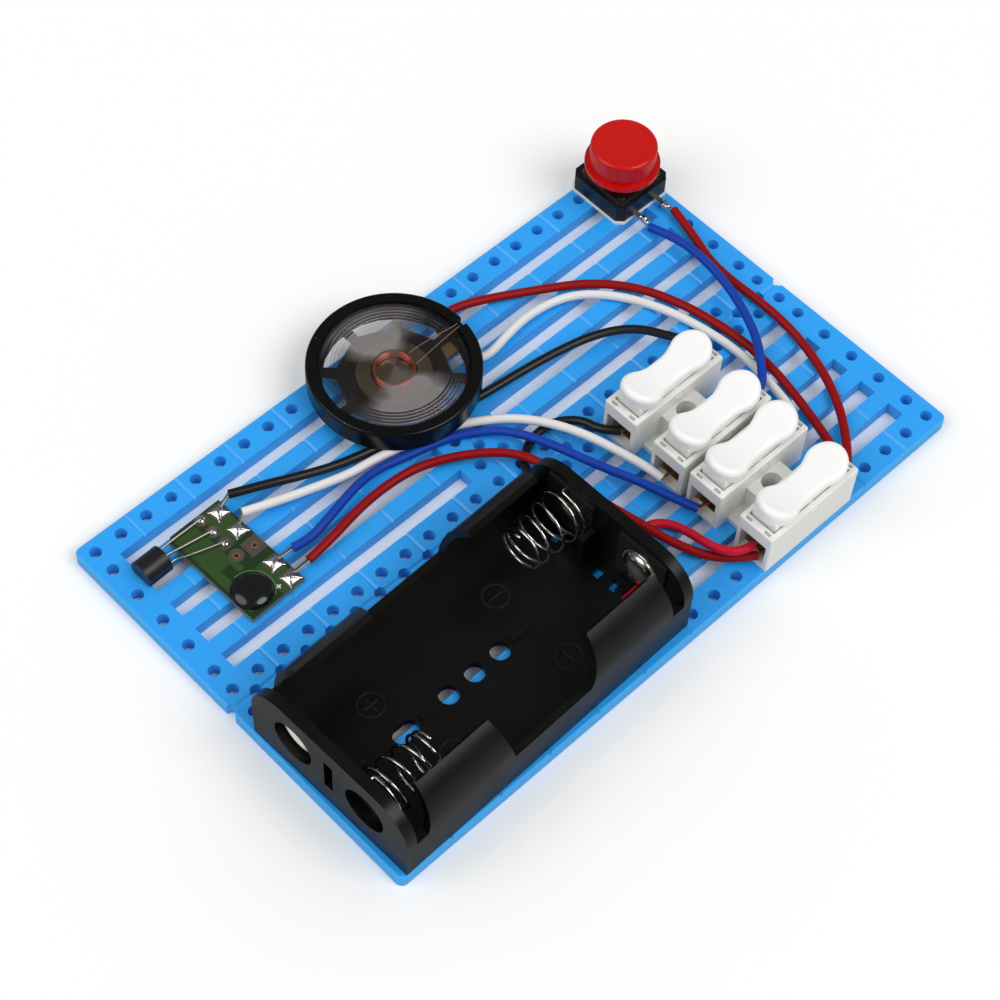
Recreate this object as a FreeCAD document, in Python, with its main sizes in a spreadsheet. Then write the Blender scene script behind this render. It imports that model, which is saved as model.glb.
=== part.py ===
"""Battery door bell demonstrator: a pierced plate with a battery box, a speaker, a sound board,
a push switch and two spring connectors, joined by hand-laid hook-up wires.

Frame: +Z up, +X along the plate's long side, origin at the middle of the plate's underside.
All lengths are in millimetres.
"""

import FreeCAD, Part

import math
import os

from FreeCAD import Placement, Rotation, Vector

os.makedirs("parts", exist_ok=True)
doc = FreeCAD.newDocument("bell_demonstrator")
sheet = doc.addObject("Spreadsheet::Sheet", "sizes")

# Driving sizes: name, value, what it is
SIZES = [
    # Plate
    ("plate_length", 120.0, "plate, long side"),
    ("plate_width", 75.0, "plate, short side"),
    ("plate_thick", 2.6, "plate thickness"),
    ("plate_corner", 1.2, "radius of the plate's upright corners"),
    ("plate_bevel", 0.3, "bevel of the plate's upper rim"),
    ("hole_radius", 1.0, "peg hole"),
    ("hole_pitch", 5.0, "spacing of peg holes along the plate"),
    ("hole_margin", 2.5, "outer peg holes from the plate's edge"),
    ("band_row", 2.5, "hole rows beside the plate's middle lines"),
    ("slot_first", 6.75, "first slot's middle from the long middle line"),
    ("slot_pitch", 6.0, "spacing of the slots"),
    ("slot_count", 5, "slots in each quarter"),
    ("slot_width", 3.05, "width of a slot"),
    ("slot_band", 5.5, "half width of the cross band between slots"),
    ("slot_end", 5.1, "web between a slot's end and the plate's edge"),
    ("score_pitch", 10.0, "spacing of the snap lines"),
    ("score_width", 0.8, "width of a snap line"),
    ("score_depth", 0.3, "depth of a snap line"),
    ("notch_radius", 1.0, "half-round notch in the short edges"),
    # Battery box
    ("battery_inset_x", 30.5, "battery box's middle from the plate's left edge"),
    ("battery_inset_y", 17.1, "battery box's middle from the plate's front edge"),
    ("battery_yaw", 1.4, "battery box turned on the plate, degrees"),
    ("box_length", 59.4, "battery box along its cells"),
    ("box_width", 32.5, "battery box across its cells"),
    ("box_height", 15.0, "battery box's end walls"),
    ("box_corner", 6.5, "rounded upper corners of the end walls"),
    ("box_end_wall", 1.9, "thickness of the end walls"),
    ("box_side_wall", 1.3, "thickness of the side walls and clips"),
    ("box_floor", 1.3, "thickness of the floor"),
    ("cell_radius", 7.25, "radius of the cell that the box is made for"),
    ("cell_play", 0.25, "room round a cell"),
    ("bay_offset", 7.45, "cell axis from the box's middle"),
    ("low_wall", 7.6, "height of the side wall between the clips"),
    ("clip_height", 16.2, "height of the clips"),
    ("clip_near", 8.0, "clip's inner foot from the box's middle"),
    ("clip_far", 25.4, "clip's outer foot from the box's middle"),
    ("clip_slope", 2.3, "lean of the clip's ends"),
    ("sight_radius", 3.9, "round hole in the front end wall"),
    ("sight_height", 8.0, "height of the round holes"),
    ("screw_radius", 1.65, "screw hole in the floor"),
    ("screw_pitch", 5.4, "spacing of the screw holes"),
    ("partition_length", 3.0, "partition between the contacts"),
    ("partition_thick", 0.9, "thickness of the partition"),
    ("partition_height", 9.0, "top of the partition"),
    ("contact_width", 9.4, "width of a contact plate"),
    ("contact_height", 9.8, "height of a contact plate"),
    ("contact_thick", 0.4, "thickness of a contact plate"),
    ("dome_radius", 3.2, "radius of the raised contact dome"),
    ("dome_rise", 1.5, "height of the contact dome"),
    ("spring_wire", 0.5, "battery spring wire"),
    ("spring_base_radius", 4.3, "battery spring at its base"),
    ("spring_tip_radius", 3.5, "battery spring at its tip"),
    ("spring_length", 10.6, "battery spring, free"),
    ("spring_turns", 5, "turns of a battery spring"),
    # Speaker
    ("speaker_inset_x", 58.1, "speaker's middle from the plate's left edge"),
    ("speaker_inset_y", 9.8, "speaker's middle from the plate's back edge"),
    ("speaker_radius", 14.3, "speaker rim, outside"),
    ("speaker_lift", 1.7, "underside of the rim above the plate"),
    ("speaker_rim_height", 4.0, "height of the rim"),
    ("speaker_lip", 1.9, "width of the rim"),
    ("speaker_rounding", 0.5, "rounding of the rim's upper edge"),
    ("film_step", 0.7, "film's edge under the rim's top"),
    ("film_thick", 0.12, "thickness of the film"),
    ("film_ridge", 0.28, "height of the film's ridges"),
    ("film_flat", 9.4, "radius inside the film's ridges"),
    ("film_cone", 0.5, "rise of the film's cone"),
    ("window_inner", 9.4, "inner radius of the windows"),
    ("window_outer", 12.0, "outer radius of the windows"),
    ("window_count", 8, "windows in the speaker's back"),
    ("window_rib", 1.5, "width of the ribs between windows"),
    ("back_thick", 0.9, "thickness of the speaker's back"),
    ("yoke_radius", 6.25, "steel yoke, outside"),
    ("yoke_bore", 3.85, "bore of the yoke"),
    ("yoke_floor", 0.8, "floor of the yoke"),
    ("yoke_height", 3.1, "height of the yoke"),
    ("magnet_radius", 2.75, "magnet"),
    ("magnet_height", 1.3, "height of the magnet"),
    ("pole_radius", 2.85, "pole plate"),
    ("pole_height", 0.8, "thickness of the pole plate"),
    ("coil_inner", 3.05, "voice coil, inside"),
    ("coil_outer", 3.5, "voice coil, outside"),
    ("coil_height", 1.5, "height of the voice coil"),
    ("lead_wire", 0.12, "voice coil's hair-thin lead"),
    ("rim_notch", 1.6, "notch in the speaker's rim"),
    ("tag_length", 7.0, "terminal board of the speaker"),
    ("tag_width", 3.6, "width of the terminal board"),
    ("tag_thick", 0.6, "thickness of the terminal board"),
    # Sound board
    ("board_inset_x", 17.2, "board's middle from the plate's left edge"),
    ("board_inset_y", 18.4, "board's middle from the plate's back edge"),
    ("board_yaw", 1.45, "board turned on the plate, degrees"),
    ("board_width", 10.6, "board across"),
    ("board_length", 19.8, "board along"),
    ("board_thick", 1.0, "board thickness"),
    ("blob_radius", 3.4, "epoxy blob"),
    ("blob_height", 1.3, "height of the epoxy blob"),
    ("solder_radius", 1.35, "solder star on a pad"),
    ("solder_height", 0.55, "height of a solder star"),
    ("joint_radius", 0.85, "solder joint of a transistor lead"),
    ("transistor_length", 4.5, "transistor body along its leads"),
    ("transistor_width", 4.6, "transistor body across"),
    ("transistor_depth", 3.6, "transistor body from flat to crown"),
    ("transistor_gap", 2.6, "transistor body from the board's edge"),
    ("leg_width", 0.45, "transistor lead"),
    ("leg_spread", 1.45, "leads apart at the transistor"),
    ("joint_spread", 2.85, "leads apart at the board"),
    # Switch
    ("switch_inset_x", 5.6, "switch's middle from the plate's right edge"),
    ("switch_inset_y", 5.4, "switch's middle from the plate's back edge"),
    ("switch_size", 12.0, "switch body, square"),
    ("switch_chamfer", 1.1, "cut corners of the switch body"),
    ("switch_height", 3.4, "height of the switch body"),
    ("switch_wall", 1.6, "wall of the switch body"),
    ("pad_size", 12.4, "adhesive pad under the switch"),
    ("pad_thick", 0.5, "thickness of the adhesive pad"),
    ("cover_size", 9.9, "switch cover plate, square"),
    ("cover_thick", 0.35, "thickness of the switch cover plate"),
    ("cover_round", 0.7, "corner radius of the cover plate"),
    ("rivet_radius", 0.75, "post that holds the cover plate"),
    ("rivet_offset", 3.75, "post from the switch's middle"),
    ("plunger_radius", 3.3, "round foot of the plunger"),
    ("plunger_foot", 1.4, "height of the plunger's foot"),
    ("stem_size", 3.8, "square stem of the plunger"),
    ("stem_top", 8.6, "top of the stem above the plate"),
    ("stem_play", 0.06, "running gap round the plunger"),
    ("press_travel", 0.3, "travel of the switch"),
    ("dome_thick", 0.15, "thickness of the snap dome"),
    ("snap_dome_radius", 3.0, "radius of the snap dome"),
    ("snap_dome_rise", 0.5, "rise of the snap dome"),
    ("cap_flange_radius", 6.45, "flange of the push cap"),
    ("cap_flange_height", 0.9, "thickness of the flange"),
    ("cap_radius", 5.7, "push cap"),
    ("cap_bottom", 6.5, "underside of the cap above the plate"),
    ("cap_height", 5.2, "height of the cap"),
    ("cap_round", 0.7, "rounding of the cap's crown"),
    ("cap_wall", 1.0, "wall of the cap"),
    ("pin_width", 0.9, "switch pin"),
    ("pin_thick", 0.35, "thickness of a switch pin"),
    ("pin_length", 2.0, "switch pin outside the body"),
    ("pin_pitch", 5.0, "switch pins apart"),
    ("pin_height", 1.2, "middle of the pins above the plate"),
    # Spring connectors
    ("connector_inset_x", 33.6, "connector's middle from the plate's right edge"),
    ("connector_inset_y", 8.75, "front connector's middle from the plate's front edge"),
    ("connector_pitch", 18.5, "connectors apart"),
    ("connector_length", 20.0, "connector along its wires"),
    ("pole_width", 6.9, "one pole of a connector"),
    ("pole_pitch", 10.6, "poles apart"),
    ("pole_case_height", 8.6, "height of a pole's case"),
    ("case_wall", 0.85, "wall of a pole's case"),
    ("case_floor", 0.8, "floor of a pole's case"),
    ("entry_height", 5.8, "top of the wire entry"),
    ("case_edge", 0.35, "rounding of the case"),
    ("well_length", 17.4, "well for the rocker"),
    ("web_length", 7.6, "web between two poles"),
    ("web_height", 5.4, "height of the web"),
    ("web_foot_height", 1.0, "height of the foot plate"),
    ("web_hole_radius", 1.75, "mounting hole in the web"),
    ("rocker_lobe", 3.45, "radius of a rocker's lobes"),
    ("rocker_reach", 5.5, "lobe's middle from the pivot"),
    ("rocker_waist", 2.55, "half width of the rocker's waist"),
    ("rocker_bottom", 9.55, "underside of the rocker's cap"),
    ("rocker_top", 13.4, "top of the rocker's lobes"),
    ("rocker_saddle", 10.9, "top of the rocker's waist"),
    ("rocker_round", 0.9, "rounding of the rocker's crown"),
    ("skirt_width", 4.8, "skirt of the rocker"),
    ("skirt_length", 16.4, "length of the skirt"),
    ("skirt_bottom", 6.9, "underside of the skirt"),
    ("pivot_radius", 0.8, "rocker's pivot pin"),
    ("pivot_height", 7.6, "height of the pivot"),
    ("pivot_play", 0.05, "running gap of the pivot"),
    ("pusher_reach", 6.0, "pusher foot from the pivot"),
    ("pusher_size", 1.2, "pusher foot along the rocker"),
    ("leaf_thick", 0.35, "clamp spring strip"),
    ("leaf_width", 4.3, "width of the clamp spring"),
    ("leaf_top", 5.3, "top of the clamp spring"),
    ("leaf_knee", 4.2, "bend of the clamp spring from its middle"),
    ("leaf_tip", 8.6, "tip of the clamp spring from its middle"),
    ("leaf_tip_height", 3.9, "height of the clamp spring's tip"),
    ("bar_thick", 0.4, "contact bar"),
    ("bar_length", 17.0, "length of the contact bar"),
    # Small fittings
    ("lead_height", 2.15, "battery lead's middle in the end wall"),
    ("lead_play", 0.3, "room round a battery lead"),
    ("sight_slot_width", 1.8, "upright slot in the front end wall"),
    ("sight_slot_height", 6.9, "height of that slot"),
    ("oval_length", 1.6, "oval hole, between its round ends"),
    ("oval_inset", 14.3, "oval hole from the box's middle"),
    ("oval_radius", 1.5, "round ends of the oval hole"),
    ("window_length", 2.0, "small openings in the box's floor, along the cells"),
    ("window_width", 1.5, "small openings, across"),
    ("window_inset", 4.6, "small openings from the box's far face"),
    ("partition_offset", 2.15, "partition from the box's middle"),
    ("rest_offset", 9.5, "cell rests from the box's middle"),
    ("rest_length", 3.5, "length of a cell rest"),
    ("rest_thick", 1.2, "thickness of a cell rest"),
    ("rest_height", 0.7, "cell rest above the floor"),
    ("spring_close_gap", 0.5, "gap beside the spring's first turn"),
    ("seat_play", 0.02, "gap of a seated fit"),
    ("notch_offset", 1.2, "speaker's notch beside its middle"),
    ("notch_depth", 1.8, "depth of the speaker's notch"),
    ("film_play", 0.05, "gap round the film's edge"),
    ("tag_inset", 6.7, "terminal board from the speaker's middle"),
    ("tag_solder", 0.4, "height of the terminal board's solder"),
    ("window_border", 0.4, "web between the windows and the rim's wall"),
    ("board_chamfer", 0.7, "cut corner of the board"),
    ("pad_row", 3.8, "wire pads from the board's middle"),
    ("pad_1", 8.07, "first wire pad along the board"),
    ("pad_2", 3.64, "second wire pad"),
    ("pad_3", -4.72, "third wire pad"),
    ("pad_4", -8.44, "fourth wire pad"),
    ("bare_pad_x", 3.8, "bare square pad, across"),
    ("bare_pad_y", -0.17, "bare square pad, along"),
    ("ring_pad_x", 0.53, "bare round pad, across"),
    ("ring_pad_y", 0.34, "bare round pad, along"),
    ("via_radius", 0.35, "hole in a bare pad"),
    ("joint_row", 0.75, "transistor joints from the board's middle"),
    ("joint_middle", 6.05, "middle transistor joint along the board"),
    ("joint_height", 0.6, "height of a transistor joint"),
    ("blob_x", -2.0, "epoxy blob across the board"),
    ("blob_y", -6.05, "epoxy blob along the board"),
    ("transistor_y", 7.63, "transistor's middle along the board"),
    ("leg_height", 1.3, "transistor leads above the plate"),
    ("switch_floor", 0.9, "floor of the switch body"),
    ("switch_bore", 4.0, "round well of the switch body"),
    ("rivet_head", 0.3, "post above the cover plate"),
    ("cap_boss_radius", 3.2, "boss in the cap round the stem"),
    ("bead_radius", 0.55, "solder on a switch pin"),
    ("bead_length", 1.6, "length of that solder"),
    ("web_foot_back", 7.5, "foot plate towards the near ends"),
    ("web_foot_front", 4.5, "foot plate towards the far ends"),
    ("waist_round", 8, "blend between lobe and waist"),
    ("tip_slot_length", 0.6, "slot in the case's end, along the pole"),
    ("tip_slot_width", 1.2, "slot in the case's end, across the pole"),
    ("tip_slot_depth", 0.8, "depth of a slot in the case's end"),
    ("tip_slot_offset", 1.9, "slot in the case's end from the pole's middle"),
    ("rocker_under", 0.4, "rounding under the rocker's cap"),
    ("pusher_width", 3.6, "pusher foot across the rocker"),
    ("pusher_bottom", 5.5, "underside of the pusher feet"),
    ("pin_inset", 0.05, "pivot pin inside the case's face"),
    ("leaf_foot", 1.6, "foot of the clamp spring"),
    # Wires
    ("wire_radius", 0.75, "hook-up wire, over its cover"),
    ("strand_radius", 0.32, "bare twisted conductor"),
]


def fill_sheet():
    """Writes every driving size into the sheet with its alias."""
    for row, (name, value, note) in enumerate(SIZES, 1):
        sheet.set(f"A{row}", note)
        sheet.set(f"B{row}", str(value))
        sheet.setAlias(f"B{row}", name)
    doc.recompute()


def size(name):
    """The value of one driving size."""
    return float(sheet.get(name))


def bind(thing, **bindings):
    """Ties properties to sheet expressions; a double underscore stands for a dot."""
    for prop, text in bindings.items():
        thing.setExpression(prop.replace("__", "."), in_sheet(text))


def in_sheet(text):
    """Puts the sheet's name before each size named in an expression."""
    words = []
    word = ""
    for letter in str(text) + " ":
        if letter.isalnum() or letter == "_":
            word += letter
            continue
        words.append(f"sizes.{word}" if word in NAMES else word)
        words.append(letter)
        word = ""
    return "".join(words).strip()


NAMES = {name for name, value, note in SIZES}
fill_sheet()
PIECES = []


def value_of(text):
    """The number that an expression of sizes gives."""
    probe = sheet_probe()
    probe.setExpression("Length", in_sheet(f"({text}) * 1 mm + 1000 mm"))
    probe.recompute()
    if "Invalid" in probe.State or "Error" in probe.State:
        raise ValueError(text)
    return float(probe.Length) - 1000.0


def sheet_probe():
    """A helper box, made once, whose length works expressions out."""
    probe = doc.getObject("probe")
    if probe is None:
        probe = doc.addObject("Part::Box", "probe")
    return probe


# Where each assembly stands, as expressions of the sizes
PLACES = {
    "plate": ("0", "0", "0", "0"),
    "battery": (
        "battery_inset_x - plate_length / 2",
        "battery_inset_y - plate_width / 2",
        "plate_thick",
        "battery_yaw",
    ),
    "speaker": ("speaker_inset_x - plate_length / 2", "plate_width / 2 - speaker_inset_y", "plate_thick", "0"),
    "board": (
        "board_inset_x - plate_length / 2",
        "plate_width / 2 - board_inset_y",
        "plate_thick",
        "board_yaw",
    ),
    "switch": ("plate_length / 2 - switch_inset_x", "plate_width / 2 - switch_inset_y", "plate_thick", "0"),
    "front_connector": (
        "plate_length / 2 - connector_inset_x",
        "connector_inset_y - plate_width / 2",
        "plate_thick",
        "0",
    ),
    "back_connector": (
        "plate_length / 2 - connector_inset_x",
        "connector_inset_y - plate_width / 2 + connector_pitch",
        "plate_thick",
        "0",
    ),
}


def stand(thing, place):
    """Puts a finished sub-part where its assembly stands, tied to the sizes."""
    x, y, z, turn = PLACES[place]
    thing.Placement = Placement(Vector(0, 0, 0), Rotation(Vector(0, 0, 1), value_of(turn)))
    bind(thing, Placement__Base__x=x, Placement__Base__y=y, Placement__Base__z=z)
    PIECES.append(thing)
    return thing


class Work:
    """One PartDesign body, built up from bound features in its assembly's own frame."""

    def __init__(self, label):
        self.body = doc.addObject("PartDesign::Body", label)
        self.body.Label = label
        self.count = 0

    def named(self, kind):
        """A fresh feature name."""
        self.count += 1
        return f"{self.body.Label}_{kind}_{self.count}"

    def origin(self, role):
        """One of the body's origin planes or axes."""
        for feature in self.body.Origin.OriginFeatures:
            if feature.Role == role:
                return feature
        raise ValueError(role)

    def primitive(self, kind, at, turn=None, **sizes):
        """An additive or subtractive primitive with bound sizes and place."""
        feature = self.body.newObject(f"PartDesign::{kind}", self.named(kind))
        if turn is not None:
            feature.Placement = Placement(Vector(0, 0, 0), turn)
        bind(feature, Placement__Base__x=at[0], Placement__Base__y=at[1], Placement__Base__z=at[2], **sizes)
        doc.recompute()
        return feature

    def block(self, low, extent, cut=False):
        """A box from its low corner."""
        kind = "SubtractiveBox" if cut else "AdditiveBox"
        return self.primitive(kind, low, Length=extent[0], Width=extent[1], Height=extent[2])

    def round_bar(self, at, radius, height, turn=None, cut=False):
        """A cylinder from the middle of its foot."""
        kind = "SubtractiveCylinder" if cut else "AdditiveCylinder"
        return self.primitive(kind, at, turn, Radius=radius, Height=height)

    def sketch(self, plane, lift="0"):
        """An empty sketch on one of the body's origin planes."""
        sketch = self.body.newObject("Sketcher::SketchObject", self.named("Sketch"))
        sketch.AttachmentSupport = [(self.origin(plane), "")]
        sketch.MapMode = "FlatFace"
        bind(sketch, AttachmentOffset__Base__z=lift)
        doc.recompute()
        return sketch

    def pad(self, sketch, length, middle=False, back=False):
        """Raises a sketch."""
        feature = self.body.newObject("PartDesign::Pad", self.named("Pad"))
        feature.Profile = sketch
        feature.SideType = "Symmetric" if middle else "One side"
        feature.Reversed = back
        bind(feature, Length=length)
        sketch.Visibility = False
        doc.recompute()
        return feature

    def pocket(self, sketch, length, middle=False, back=False):
        """Cuts a sketch into the body and makes sure that it took something away."""
        before = self.body.Shape.Volume
        feature = self.body.newObject("PartDesign::Pocket", self.named("Pocket"))
        feature.Profile = sketch
        feature.SideType = "Symmetric" if middle else "One side"
        feature.Reversed = back
        bind(feature, Length=length)
        sketch.Visibility = False
        doc.recompute()
        if not self.body.Shape.Volume < before - 1e-6:
            raise RuntimeError(f"{feature.Label} cuts nothing")
        return feature

    def turned(self, sketch, cut=False):
        """Turns a sketch on the XZ plane about the upright axis."""
        kind = "Groove" if cut else "Revolution"
        feature = self.body.newObject(f"PartDesign::{kind}", self.named(kind))
        feature.Profile = sketch
        feature.ReferenceAxis = (sketch, ["V_Axis"])
        feature.Angle = 360.0
        sketch.Visibility = False
        doc.recompute()
        return feature

    def edges(self, wanted):
        """Names of the edges of the body so far that a test picks."""
        shape = self.body.Shape
        return [f"Edge{number}" for number, edge in enumerate(shape.Edges, 1) if wanted(edge)]

    def fillet(self, radius, wanted):
        """Rounds the edges that a test picks."""
        names = self.edges(wanted)
        if not names:
            raise RuntimeError(f"{self.body.Label}: no edge to round")
        base = self.body.Tip
        feature = self.body.newObject("PartDesign::Fillet", self.named("Fillet"))
        feature.Base = (base, names)
        bind(feature, Radius=radius)
        doc.recompute()
        return feature

    def chamfer(self, width, wanted):
        """Cuts the edges that a test picks."""
        names = self.edges(wanted)
        if not names:
            raise RuntimeError(f"{self.body.Label}: no edge to cut")
        base = self.body.Tip
        feature = self.body.newObject("PartDesign::Chamfer", self.named("Chamfer"))
        feature.Base = (base, names)
        bind(feature, Size=width)
        doc.recompute()
        return feature

    def pattern(self, originals, steps, mirrors=()):
        """Repeats features: steps are (axis role, length, count), mirrors are plane roles."""
        group = self.body.newObject("PartDesign::MultiTransform", self.named("MultiTransform"))
        group.Originals = originals
        moves = []
        for role, length, count in steps:
            move = self.body.newObject("PartDesign::LinearPattern", self.named("LinearPattern"))
            move.Direction = (self.origin(role), [""])
            bind(move, Length=length, Occurrences=count)
            moves.append(move)
        for role in mirrors:
            move = self.body.newObject("PartDesign::Mirrored", self.named("Mirrored"))
            move.MirrorPlane = (self.origin(role), [""])
            moves.append(move)
        group.Transformations = moves
        self.body.Tip = group
        doc.recompute()
        return group

    def done(self, place):
        """Stands the finished body in the assembly."""
        return stand(self.body, place)


def constrain(sketch, geometry, point, x, y):
    """Ties one point of a sketch to two expressions."""
    import Sketcher

    for kind, text in (("DistanceX", x), ("DistanceY", y)):
        number = value_of(text)
        index = sketch.addConstraint(Sketcher.Constraint(kind, -1, 1, geometry, point, number))
        sketch.setExpression(f"Constraints[{index}]", in_sheet(text))


def outline(sketch, corners):
    """A closed outline of straight lines through corners given as pairs of expressions."""
    import Sketcher

    points = [Vector(value_of(x), value_of(y), 0) for x, y in corners]
    first = sketch.GeometryCount
    count = len(points)
    for step in range(count):
        sketch.addGeometry(Part.LineSegment(points[step], points[(step + 1) % count]), False)
    for step in range(count):
        following = first + (step + 1) % count
        sketch.addConstraint(Sketcher.Constraint("Coincident", first + step, 2, following, 1))
    for step, (x, y) in enumerate(corners):
        constrain(sketch, first + step, 1, x, y)
    doc.recompute()


def rectangle(sketch, x, y, width, height):
    """A rectangle about a middle point."""
    outline(
        sketch,
        [
            (f"{x} - ({width}) / 2", f"{y} - ({height}) / 2"),
            (f"{x} + ({width}) / 2", f"{y} - ({height}) / 2"),
            (f"{x} + ({width}) / 2", f"{y} + ({height}) / 2"),
            (f"{x} - ({width}) / 2", f"{y} + ({height}) / 2"),
        ],
    )


def ring(sketch, x, y, radius):
    """A circle with a bound middle and radius."""
    import Sketcher

    geometry = sketch.addGeometry(Part.Circle(Vector(value_of(x), value_of(y), 0), Vector(0, 0, 1), value_of(radius)))
    constrain(sketch, geometry, 3, x, y)
    index = sketch.addConstraint(Sketcher.Constraint("Radius", geometry, value_of(radius)))
    sketch.setExpression(f"Constraints[{index}]", in_sheet(radius))


def upright(edge):
    """True for a straight edge along Z."""
    return isinstance(edge.Curve, Part.Line) and abs(edge.Curve.Direction.z) > 0.999


def at_height(height):
    """A test for edges that lie flat at one height."""

    def wanted(edge):
        box = edge.BoundBox
        return abs(box.ZMin - height) < 0.005 and abs(box.ZMax - height) < 0.005

    return wanted


def feature(label, shape, place):
    """A sub-part whose shape is worked out in code."""
    thing = doc.addObject("Part::Feature", label)
    thing.Label = label
    thing.Shape = shape
    return stand(thing, place)


def cluster(label, place, pieces):
    """Small plain solids of one kind, kept together as one sub-part."""
    links = []
    for number, (kind, at, turn, sizes) in enumerate(pieces, 1):
        thing = doc.addObject(f"Part::{kind}", f"{label}_{number}")
        if turn is not None:
            thing.Placement = Placement(Vector(0, 0, 0), turn)
        bind(thing, Placement__Base__x=at[0], Placement__Base__y=at[1], Placement__Base__z=at[2], **sizes)
        links.append(thing)
    group = doc.addObject("Part::Compound", label)
    group.Label = label
    group.Links = links
    doc.recompute()
    return stand(group, place)


# Turns that lay a primitive's own axis along +X, +Y, -X and -Y
ALONG_X = Rotation(Vector(1, 1, 1), 120)
ALONG_Y = Rotation(Vector(1, 0, 0), -90)
AGAINST_X = Rotation(Vector(0, 1, 0), -90)


# Plate


def make_plate():
    """The pierced plate, with slots, peg holes and snap lines."""
    work = Work("base_plate")
    blank = work.sketch("XY_Plane")
    rectangle(blank, "0", "0", "plate_length", "plate_width")
    work.pad(blank, "plate_thick")
    work.fillet("plate_corner", upright)
    work.chamfer("plate_bevel", at_height(size("plate_thick")))

    edge_x = "plate_length / 2 - hole_margin"
    edge_y = "plate_width / 2 - hole_margin"
    cells = work.sketch("XY_Plane")
    slot_middle = "(slot_band + plate_length / 2 - slot_end) / 2"
    rectangle(cells, slot_middle, "slot_first", "plate_length / 2 - slot_end - slot_band", "slot_width")
    ring(cells, edge_x, "slot_first", "hole_radius")
    ring(cells, "band_row", "slot_first", "hole_radius")
    cut = work.pocket(cells, "2 * plate_thick", middle=True)
    rows = [("Y_Axis", "slot_pitch * (slot_count - 1)", "slot_count")]
    work.pattern([cut], rows, ["XZ_Plane", "YZ_Plane"])

    long_row = "plate_length - 2 * hole_margin"
    for y, span, count, mirrors in (
        (f"-({edge_y})", long_row, f"round(({long_row}) / hole_pitch) + 1", ["XZ_Plane"]),
        ("-band_row", long_row, f"round(({long_row}) / hole_pitch) + 1", ["XZ_Plane"]),
        ("0", "plate_length - 2 * hole_pitch", "round(plate_length / hole_pitch) - 1", []),
    ):
        hole = work.sketch("XY_Plane")
        ring(hole, f"-({span}) / 2", y, "hole_radius")
        cut = work.pocket(hole, "2 * plate_thick", middle=True)
        work.pattern([cut], [("X_Axis", span, count)], mirrors)

    hole = work.sketch("XY_Plane")
    ring(hole, "0", "slot_first + slot_pitch / 2", "hole_radius")
    cut = work.pocket(hole, "2 * plate_thick", middle=True)
    between = [("Y_Axis", "slot_pitch * (slot_count - 2)", "slot_count - 1")]
    work.pattern([cut], between, ["XZ_Plane"])

    score = work.sketch("XZ_Plane")
    first = "score_pitch - plate_length / 2"
    top = "plate_thick"
    outline(
        score,
        [
            (f"{first} - score_width / 2", f"{top} + 0.01"),
            (first, f"{top} - score_depth"),
            (f"{first} + score_width / 2", f"{top} + 0.01"),
        ],
    )
    cut = work.pocket(score, "2 * plate_width", middle=True)
    count = "round((plate_length - 2 * score_pitch) / score_pitch) + 1"
    work.pattern([cut], [("X_Axis", "plate_length - 2 * score_pitch", count)], [])

    score = work.sketch("YZ_Plane")
    outline(
        score,
        [
            ("-score_width / 2", f"{top} + 0.01"),
            ("0", f"{top} - score_depth"),
            ("score_width / 2", f"{top} + 0.01"),
        ],
    )
    work.pocket(score, "2 * plate_length", middle=True)

    for x in ("plate_length / 2", "-plate_length / 2"):
        work.round_bar((x, "0", "-plate_thick"), "notch_radius", "3 * plate_thick", cut=True)
    return work.done("plate")


# Battery box


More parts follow.
